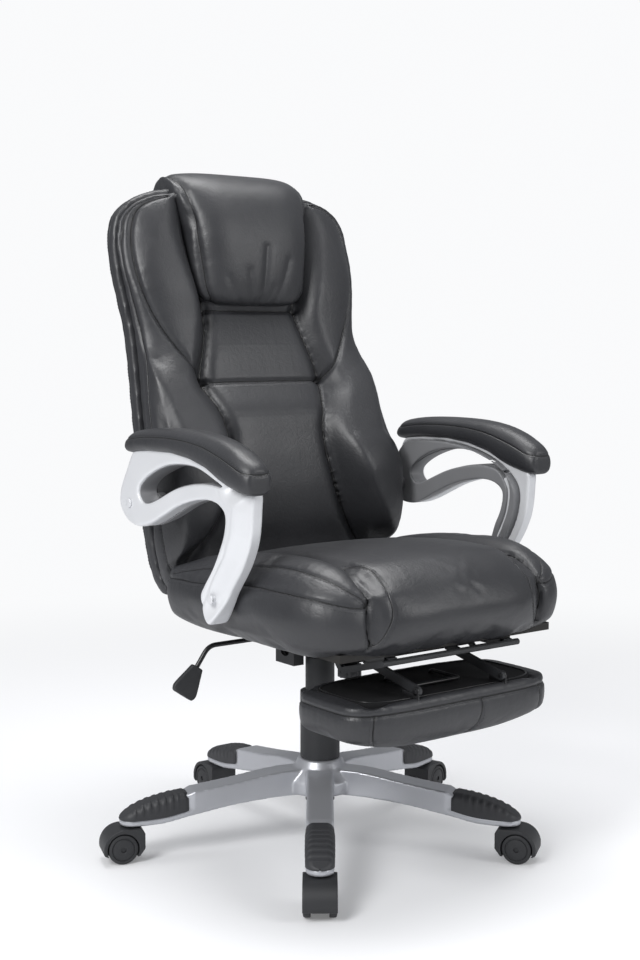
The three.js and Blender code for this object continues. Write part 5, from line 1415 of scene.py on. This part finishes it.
def flat_ring(name, loops, low, high, bevel):
    """A filled curve in the YZ plane with holes, given a thickness along X."""
    middle, half = (low + high) / 2, abs(high - low) / 2
    curve = bpy.data.curves.new(name, "CURVE")
    curve.dimensions = "2D"
    curve.fill_mode = "BOTH"
    curve.extrude = (half - bevel) * MM
    curve.bevel_depth = bevel * MM
    curve.bevel_resolution = 3
    curve.offset = -bevel * MM
    for loop in loops:
        spline = curve.splines.new("POLY")
        spline.points.add(len(loop) - 1)
        for point, (y, z) in zip(spline.points, loop):
            point.co = (y * MM, z * MM, 0, 1)
        spline.use_cyclic_u = True
    piece = bpy.data.objects.new(name, curve)
    bpy.context.collection.objects.link(piece)
    pick(piece)
    bpy.ops.object.convert(target="MESH")
    piece = bpy.context.object
    spots = corners(piece)
    move_corners(piece, np.column_stack([spots[:, 2] + middle * MM, spots[:, 0], spots[:, 1]]))
    return face_out(piece)


# %% Outlines of the cover and the trim, and the slanted front edge
outline = loop_through(frame_shares)
slot_line = loop_through(slot_shares)
front_shares = frame_shares[6:13]
cover_front_shares = [
    (0.13, 0.955), (0.264, 0.978), (0.445, 0.981), (0.6, 0.956), (0.735, 0.906), (0.832, 0.843),
    (0.898, 0.78), (0.94, 0.692), (0.931, 0.535), (0.876, 0.374), (0.785, 0.2), (0.748, 0.07),
]
cover_outline = loop_through(cover_front_shares + frame_shares[13:])
cover_slot_shares = slot_shares[:7] + [
    (0.838, 0.852), (0.886, 0.775), (0.908, 0.7), (0.907, 0.62), (0.891, 0.53), (0.864, 0.45),
    (0.831, 0.37), (0.816, 0.335), (0.825, 0.38), (0.853, 0.455), (0.877, 0.53), (0.891, 0.62),
    (0.89, 0.7), (0.866, 0.765), (0.826, 0.818),
] + slot_shares[8:]
cover_slot = loop_through(cover_slot_shares)
trim_line = loop_through(cover_slot_shares[8:21])
front_edge = np.array([arm_point(pair) for pair in front_shares])
front_edge[:, 0] -= 2
print("points in the armrest's outline, slot and cover:", len(outline), len(slot_line), len(cover_outline))


def front_distance(y, z):
    """How far a point of the armrest lies behind its front edge."""
    fine = np.linspace(0, len(front_edge) - 1, 80)
    line = np.column_stack([np.interp(fine, range(len(front_edge)), front_edge[:, k]) for k in (0, 1)])
    return np.hypot(y[:, None] - line[None, :, 0], z[:, None] - line[None, :, 1]).min(axis=1)


def past_cover(y, z):
    """How far a point of the armrest lies outside the cover's outline, or less than zero inside it."""
    ring = np.array(cover_outline)
    after = np.roll(ring, -1, axis=0)
    inside = np.zeros(len(y), dtype=bool)
    for (y0, z0), (y1, z1) in zip(ring, after):
        if z0 != z1:
            inside ^= ((z0 > z) != (z1 > z)) & (y < (y1 - y0) * (z - z0) / (z1 - z0) + y0)
    middles = (ring + after) / 2
    gaps = np.hypot(y[:, None] - middles[None, :, 0], z[:, None] - middles[None, :, 1]).min(axis=1)
    return np.where(inside, -gaps, gaps)


def slanted(piece, side, depth, reach):
    """Rolls the outer face in along the front edge, and brings the inner face out past the cover's edge.

    depth is how far the front edge rolls in, and reach how far behind it the roll begins. A groove
    runs where the roll begins, and deepens to a slit beside the seat.
    """
    spots = corners(piece) / MM
    gap = front_distance(spots[:, 1], spots[:, 2])
    upright = step(arm_foot, arm_foot + 50, spots[:, 2])
    outer = np.clip((spots[:, 0] * side - arm_split) / (arm_outer - arm_split), 0, 1)
    spots[:, 0] -= side * depth * step(reach, 0, gap) * upright * outer
    slit = groove_depth + slit_depth * step(562, 535, spots[:, 2]) * step(442, 462, spots[:, 2])
    spots[:, 0] -= side * slit * np.exp(-(((gap - reach - 2) / groove_width) ** 2)) * upright * outer
    bare = step(-0.5, 2.0, past_cover(spots[:, 1], spots[:, 2]))
    spots[:, 0] -= side * (arm_split - arm_inner - 1) * bare * (1 - outer)
    move_corners(piece, spots * MM)
    return piece


# %% Armrest shells, covers and bolts

def rod(radius, length, x, y, z, sides):
    """A round bar across the chair, with its middle at x, y and z in millimetres."""
    deselect()
    bpy.ops.mesh.primitive_cylinder_add(
        vertices=sides, radius=radius * MM, depth=length * MM, location=(x * MM, y * MM, z * MM),
        rotation=(0, math.pi / 2, 0),
    )
    return settle(bpy.context.object)


for label, side in (("right", -1), ("left", 1)):
    shell_piece = flat_ring(f"arm_shell_{label}", [outline, slot_line], side * arm_split,
                            side * arm_outer, 4.0)
    modify(shell_piece, "REMESH", mode="VOXEL", voxel_size=1.8 * MM)
    slanted(shell_piece, side, depth=16.0, reach=34.0)
    relax(shell_piece, 8)
    trim = flat_ring("trim", [trim_line], side * (arm_inner + 3 - post_swell), side * (arm_split + 2), 0.8)
    shell_piece = smooth(join([shell_piece, trim], f"arm_shell_{label}"), 60)
    dress(shell_piece, arm_silver, "seat_and_back", [f"arm_frame_{label}"])
    cover_piece = flat_ring(f"arm_inside_{label}", [cover_outline, cover_slot], side * (arm_split - 0.4),
                            side * arm_inner, 1.5)
    modify(cover_piece, "REMESH", mode="VOXEL", voxel_size=1.6 * MM)
    spots = corners(cover_piece) / MM
    inward = step(arm_split - 3, arm_inner + 1, spots[:, 0] * side) * step(500, 550, spots[:, 2])
    spots[:, 0] -= side * post_swell * inward * step(90, 0, spots[:, 1])
    move_corners(cover_piece, spots * MM)
    relax(cover_piece, 4)
    sleeve = flat_ring("slot_sleeve", [inset_loop(slot_line, -1.2), inset_loop(slot_line, 1.0)],
                       side * (arm_inner + 3), side * (arm_outer - 5), 0.3)
    spacers = [cover_piece, sleeve]
    for _, y, z, reach in bolts:
        middle = side * (arm_inner + 1 + reach) / 2
        spacer = rod(spacer_radius, arm_inner + 1 - reach, middle, y, z, 48)
        spacers.append(soften_edges(spacer, 1.0, 2))
    cover_piece = smooth(join(spacers, f"arm_inside_{label}"), 45)
    dress(cover_piece, cover_plastic, "seat_and_back", [f"arm_cover_{label}"])
    print("armrest", label, "faces:", len(shell_piece.data.polygons), len(cover_piece.data.polygons))
    for word, y, z, _ in bolts:
        cap = soften_edges(rod(cap_radius, cap_thick, side * (arm_outer + cap_proud), y, z, 48), 0.9, 3)
        shank = rod(shank_radius, shank_length, side * (arm_outer - shank_length / 2), y, z, 24)
        bolt = smooth(join([cap, shank], f"{word}_cap_{label}"), 40)
        dress(bolt, arm_silver, "seat_and_back", [f"{word}_bolt_{label}"])

# %% Arm pads
pad_rear, pad_length, pad_half = 116.0, 356.0, 27.0
pad_top, pad_fall, pad_middle, pad_sink = 723.0, 123.0, 288.5, 6.0
pad_seam_share = 0.68
pad_shares = [
    (0, 0.8, 0.82, 0.06), (0.03, 0.92, 0.9, 0.03), (0.1, 0.95, 0.95, 0.03), (0.22, 1, 0.985, 0),
    (0.4, 1, 1, 0), (0.6, 1, 0.985, 0), (0.75, 1, 0.93, 0), (0.86, 1, 0.84, 0), (0.93, 0.97, 0.745, 0),
    (0.975, 0.86, 0.67, 0), (1, 0.66, 0.59, 0.05),
]
top_line = np.array(sorted(arm_point(pair) for pair in frame_shares[:8]))


def pad_limits(share):
    """Where the pad lies along the armrest, its half width, and its lowest and highest level there."""
    y = pad_rear - pad_length * share
    low = np.interp(y, top_line[:, 0], top_line[:, 1]) - pad_sink
    high = pad_top - pad_fall * (1 - ease(pad_shares, share, 2))
    return y, pad_half * ease(pad_shares, share, 1), low + (high - low) * ease(pad_shares, share, 3), high


def pad_sheet(side, crowned):
    def sheet(u, v):
        y, half, low, high = pad_limits((1 - v) / 2)
        bend = 1 - 0.3 * np.abs(u) ** 3.2 if crowned else 0.18 * np.abs(u) ** 4
        return np.column_stack([side * pad_middle + half * u, y, low + (high - low) * bend])
    return sheet


def pad_outward(u, v):
    return np.column_stack([np.sign(u) * (np.abs(u) > 0.9999), u * 0, u * 0])


for label, side in (("right", -1), ("left", 1)):
    rest = cushion(f"arm_rest_{label}", 50, pad_sheet(side, True), pad_sheet(side, False), 2.0, pad_outward)
    even_out(rest, voxel=3.4, rounds=6)
    refine(rest)
    line = []
    for turn in np.linspace(0, 2 * math.pi, 90):
        y, half, low, high = (float(value) for value in pad_limits(0.5 - 0.485 * math.cos(turn)))
        reach = math.copysign(min(abs(math.sin(turn)) * 4, 1), math.sin(turn))
        line.append((side * pad_middle + (half + 3) * reach, y, low + (high - low) * pad_seam_share))
    rest_seams = [{"line": line, "gather": 0.5, "scale": 0.35}]
    upholstered(rest, rest_seams, "seat_and_back", [f"arm_pad_{label}"], fill=0.7, puff=0.8, reach=12.0,
                gather=0.3, seed=31)

# %% [markdown]
# ## Lever, knob and spring
# The lever is a bent rod with a flat paddle at its end. The spring is one wire wound round the tension
# bolt: a short piece of wire that the Screw modifier winds up, as a spring coiler does.

# %% Lever


def bar_along(name, points, radius, sides=24):
    """A round bar through points in millimetres, made from a curve with a round bevel."""
    curve = bpy.data.curves.new(name, "CURVE")
    curve.dimensions = "3D"
    curve.bevel_depth = radius * MM
    curve.bevel_resolution = sides // 4
    curve.use_fill_caps = True
    spline = curve.splines.new("POLY")
    spline.points.add(len(points) - 1)
    for point, place_of in zip(spline.points, points):
        point.co = (*[v * MM for v in place_of], 1)
    piece = bpy.data.objects.new(name, curve)
    bpy.context.collection.objects.link(piece)
    pick(piece)
    bpy.ops.object.convert(target="MESH")
    return smooth(face_out(bpy.context.object), 50)


def rounded_path(points, radius, steps=8):
    """Rounds the corners of a path of points."""
    points = [np.array(point, dtype=float) for point in points]
    path_points = [points[0]]
    for before, corner, after in zip(points, points[1:], points[2:]):
        into = (before - corner) / np.linalg.norm(before - corner)
        away = (after - corner) / np.linalg.norm(after - corner)
        start, end = corner + into * radius, corner + away * radius
        for t in np.linspace(0, 1, steps):
            path_points.append(start * (1 - t) ** 2 + corner * 2 * t * (1 - t) + end * t**2)
    path_points.append(points[-1])
    return path_points


lever_y, lever_z = 6.0, 366.0
lever_path = [(-27, lever_y, lever_z), (-222, lever_y, lever_z), (-257, lever_y, 317.5)]
lever_rod = bar_along("lever_bar", rounded_path(lever_path, 14), 4)
collar = bar_along("collar", [(-56, lever_y, lever_z), (-52, lever_y, lever_z)], 5.1)
lever_rod = join([lever_rod, collar], "lever_bar")
smooth(lever_rod, 40)
dress(lever_rod, black_steel, "height_lever", ["lever_rod"])

grip_half, grip_length, grip_thick, grip_taper = 23.0, 52.0, 6.2, 2.2
grip_shares = [(0, 0.435), (0.25, 0.62), (0.8, 1), (0.94, 0.93), (1, 0.8)]
grip_top = np.array([-244.0, lever_y, 334.0])
drop = np.array([-22.0, 0.0, -32.0])
drop /= np.linalg.norm(drop)
grip_side = np.array([drop[2], 0, -drop[0]])


def grip_point(u, v):
    share = (1 - v) / 2
    half = grip_half * ease(grip_shares, share)
    return grip_top + np.outer(share * grip_length, drop) + grip_side * (half * u)[:, None]


def grip_face(way):
    def sheet(u, v):
        return grip_point(u, v) + way * np.outer(grip_thick - grip_taper * np.abs(u) ** 3, (0, 1, 0))
    return sheet


def grip_outward(u, v):
    return np.sign(u)[:, None] * grip_side * (np.abs(u) > 0.9999)[:, None]


grip = cushion("lever_paddle", 30, grip_face(1), grip_face(-1), 0.6, grip_outward)
even_out(grip, voxel=1.2, rounds=5)
smooth(grip, 60)
dress(grip, dark_plastic, "height_lever", ["lever_grip"])
print("lever faces:", len(lever_rod.data.polygons), "grip faces:", len(grip.data.polygons))

# %% Spring and knob
spring_low, spring_high, spring_curls = 323.0, 371.7, 11
spring_y, wire_radius, curl_radius, curl_steps = -82.0, 1.5, 17.4, 28
deselect()
bpy.ops.mesh.primitive_circle_add(
    vertices=10, radius=wire_radius * MM, location=(curl_radius * MM, 0, 0), rotation=(math.pi / 2, 0, 0),
)
coil = settle(bpy.context.object)
coil.name = "coil_spring"
coil_steps = spring_curls * curl_steps
coil_rise = spring_high - spring_low - 2 * wire_radius
modify(coil, "SCREW", angle=2 * math.pi * spring_curls, steps=coil_steps, render_steps=coil_steps,
       screw_offset=coil_rise * MM)
pick(coil)
bpy.ops.object.mode_set(mode="EDIT")
bpy.ops.mesh.select_all(action="SELECT")
bpy.ops.mesh.fill_holes(sides=12)
bpy.ops.object.mode_set(mode="OBJECT")
move_corners(coil, corners(coil) + [0, spring_y * MM, (spring_low + wire_radius) * MM])
face_out(coil)
smooth(coil, 60)
dress(coil, black_steel, "tilt_mechanism", ["tension_spring"])
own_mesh(coil)

knob_radius, knob_rib, knob_height, knob_foot, screw_radius, screw_top = 19.0, 1.0, 22.0, 300.7, 4.5, 389.7
ribs = 12
rib_points = 8
knob_loop = []
for number in range(ribs * rib_points):
    angle = 2 * math.pi * number / (ribs * rib_points)
    radius = knob_radius + knob_rib * math.tanh(3 * math.cos(ribs * angle))
    knob_loop.append((radius * math.cos(angle), radius * math.sin(angle)))
knob = plate("tension_dial", knob_loop, 0, knob_height)
spots = corners(knob)
move_corners(knob, spots[:, [0, 2, 1]] + np.array([0, spring_y, knob_foot]) * MM)
face_out(knob)
soften_edges(knob, 1.2, 2, sharper_than=60)
screw = bar_along("screw", [(0, spring_y, 322), (0, spring_y, screw_top)], screw_radius)
knob = smooth(join([knob, screw], "tension_dial"), 40)
dress(knob, dark_plastic, "tension_adjuster", ["tension_knob"])
print("gap between curls:", round(coil_rise / spring_curls - 2 * wire_radius, 2), "mm")

# %% [markdown]
# ## The footrest
# The pad hangs upside down when it is stowed: leather below, a black lining above. The lining is zipped
# in behind a rolled leather rim, and covers a board that carries the hinge ears and a bent wire handle.

# %% Footrest pad
foot_half, foot_front, foot_rear = 203.0, -364.0, -184.0
foot_middle, foot_depth = (foot_front + foot_rear) / 2, (foot_rear - foot_front) / 2
foot_lining, foot_low = 331.0, 246.0
rim_drop = 12.0
lining_top, lining_under, lining_sag = 330.0, 322.0, 2.0
zip_level, zip_radius, zip_reach = 330.6, 1.1, 0.85
rim_seam_level = 316.0
foot_side_share = 0.62
lining_reach = 0.87


def foot_plan(u, v):
    a, b = rounded_square(u, v, 5)
    return foot_half * a, foot_middle + foot_depth * b


def foot_lower(u, v):
    x, y = foot_plan(u, v)
    most = np.maximum(np.abs(u), np.abs(v))
    deep = (foot_lining - foot_low) * (foot_side_share + (1 - foot_side_share) * (1 - most**2.6))
    return np.column_stack([x, y, foot_lining - deep])


def foot_upper(u, v):
    """The rim rolls over the edge and drops behind the lining."""
    x, y = foot_plan(u, v)
    reach = np.maximum(np.abs(x) / foot_half, np.abs(y - foot_middle) / foot_depth)
    drop_in = step(lining_reach + 0.02, lining_reach - 0.06, reach)
    return np.column_stack([x, y, foot_lining + 1 - rim_drop * drop_in])


def foot_outward(u, v):
    a, b = rounded_square(u, v, 5)
    return unit(np.column_stack([np.sign(a) * np.abs(a) ** 4, np.sign(b) * np.abs(b) ** 4, a * 0]))


def foot_loop(share, level, count):
    """A ring of points round the footrest at this share of its half sizes."""
    turns = np.linspace(0, 2 * math.pi, count)
    u, v = np.cos(turns), np.sin(turns)
    most = np.maximum(np.abs(u), np.abs(v))
    x, y = foot_plan(u / most * share, v / most * share)
    return np.column_stack([x, y, np.full(count, level)])


foot = cushion("footrest_upholstery", 66, foot_upper, foot_lower, 4.0, foot_outward)
even_out(foot, voxel=4.0, rounds=14)
swell(foot, pressure=3.0, cap=3.0)
refine(foot)
foot_seams = [
    {"line": foot_loop(1.03, rim_seam_level, 140), "scale": 0.8, "rows": (-3.6,)},
    {"line": [(36, -372, 314), (36, -372, 290), (34, -368, 268), (28, -340, 254)], "scale": 0.6},
]
for side in (-1, 1):
    corner_line = [(172, -366, 316), (174, -364, 290), (170, -356, 268), (150, -330, 256)]
    foot_seams.append({"line": [(side * x, y, z) for x, y, z in corner_line], "scale": 0.8})
upholstered(foot, foot_seams, "footrest", ["footrest_pad"], fill=0.7, puff=1.6, reach=15.0, gather=0.7,
            seed=41)

# %% Lining, hinge ears and wire handle
hinge_y, hinge_z = -355.0, 341.0
ear_x, ear_y, ear_z = 89.3, -343.5, 329.7
hinge_discs = ((7.0, 87.8, 90.8), (4.0, 81.0, 92.6))
wire_half, wire_level, wire_end = 47, 333.1, 324


def lining_sheet(level, sag):
    def sheet(u, v):
        a, b = rounded_square(u, v, 5)
        tuck = sag * (1 - u**2) * (1 - v**2)
        ripple_height = 0.7 * np.sin(9 * u + 4 * v) * (1 - np.maximum(u**2, v**2))
        x, y = foot_half * lining_reach * a, foot_middle + foot_depth * lining_reach * b
        return np.column_stack([x, y, level - tuck + ripple_height])
    return sheet


panel = cushion("footrest_lining", 40, lining_sheet(lining_top, lining_sag),
                lining_sheet(lining_under, 0.0), 0.5, foot_outward)
refine(panel)
smooth(panel, 60)
dress(panel, lining, "footrest", ["footrest_board"])
zipper = bar_along("footrest_zip", foot_loop(zip_reach, zip_level, 140), zip_radius)
dress(zipper, black_steel, "footrest", ())

wire_front, wire_rear = foot_middle - 0.3 * foot_depth, foot_middle + 0.45 * foot_depth
wire_path = [
    (-wire_half, wire_rear + 4, wire_end), (-wire_half, wire_rear, wire_level),
    (-wire_half, wire_front, wire_level), (wire_half, wire_front, wire_level),
    (wire_half, wire_rear, wire_level), (wire_half, wire_rear + 4, wire_end),
]
wire = bar_along("footrest_handle", rounded_path(wire_path, 6), 3)
hardware = [wire]
for side in (-1, 1):
    deselect()
    bpy.ops.mesh.primitive_cube_add(size=1, location=(side * ear_x * MM, ear_y * MM, ear_z * MM))
    ear = bpy.context.object
    ear.scale = (3 * MM, 37 * MM, 16 * MM)
    settle(ear)
    modify(ear, "BEVEL", width=1.0 * MM, segments=2)
    hardware.append(ear)
    for radius, inner, outer in hinge_discs:
        disc = rod(radius, outer - inner, side * (inner + outer) / 2, hinge_y, hinge_z, 40)
        hardware.append(soften_edges(disc, 0.6, 2))
hinges = smooth(join(hardware, "footrest_hinges"), 40)
dress(hinges, black_steel, "footrest", ())
print("footrest hardware faces:", len(hinges.data.polygons))
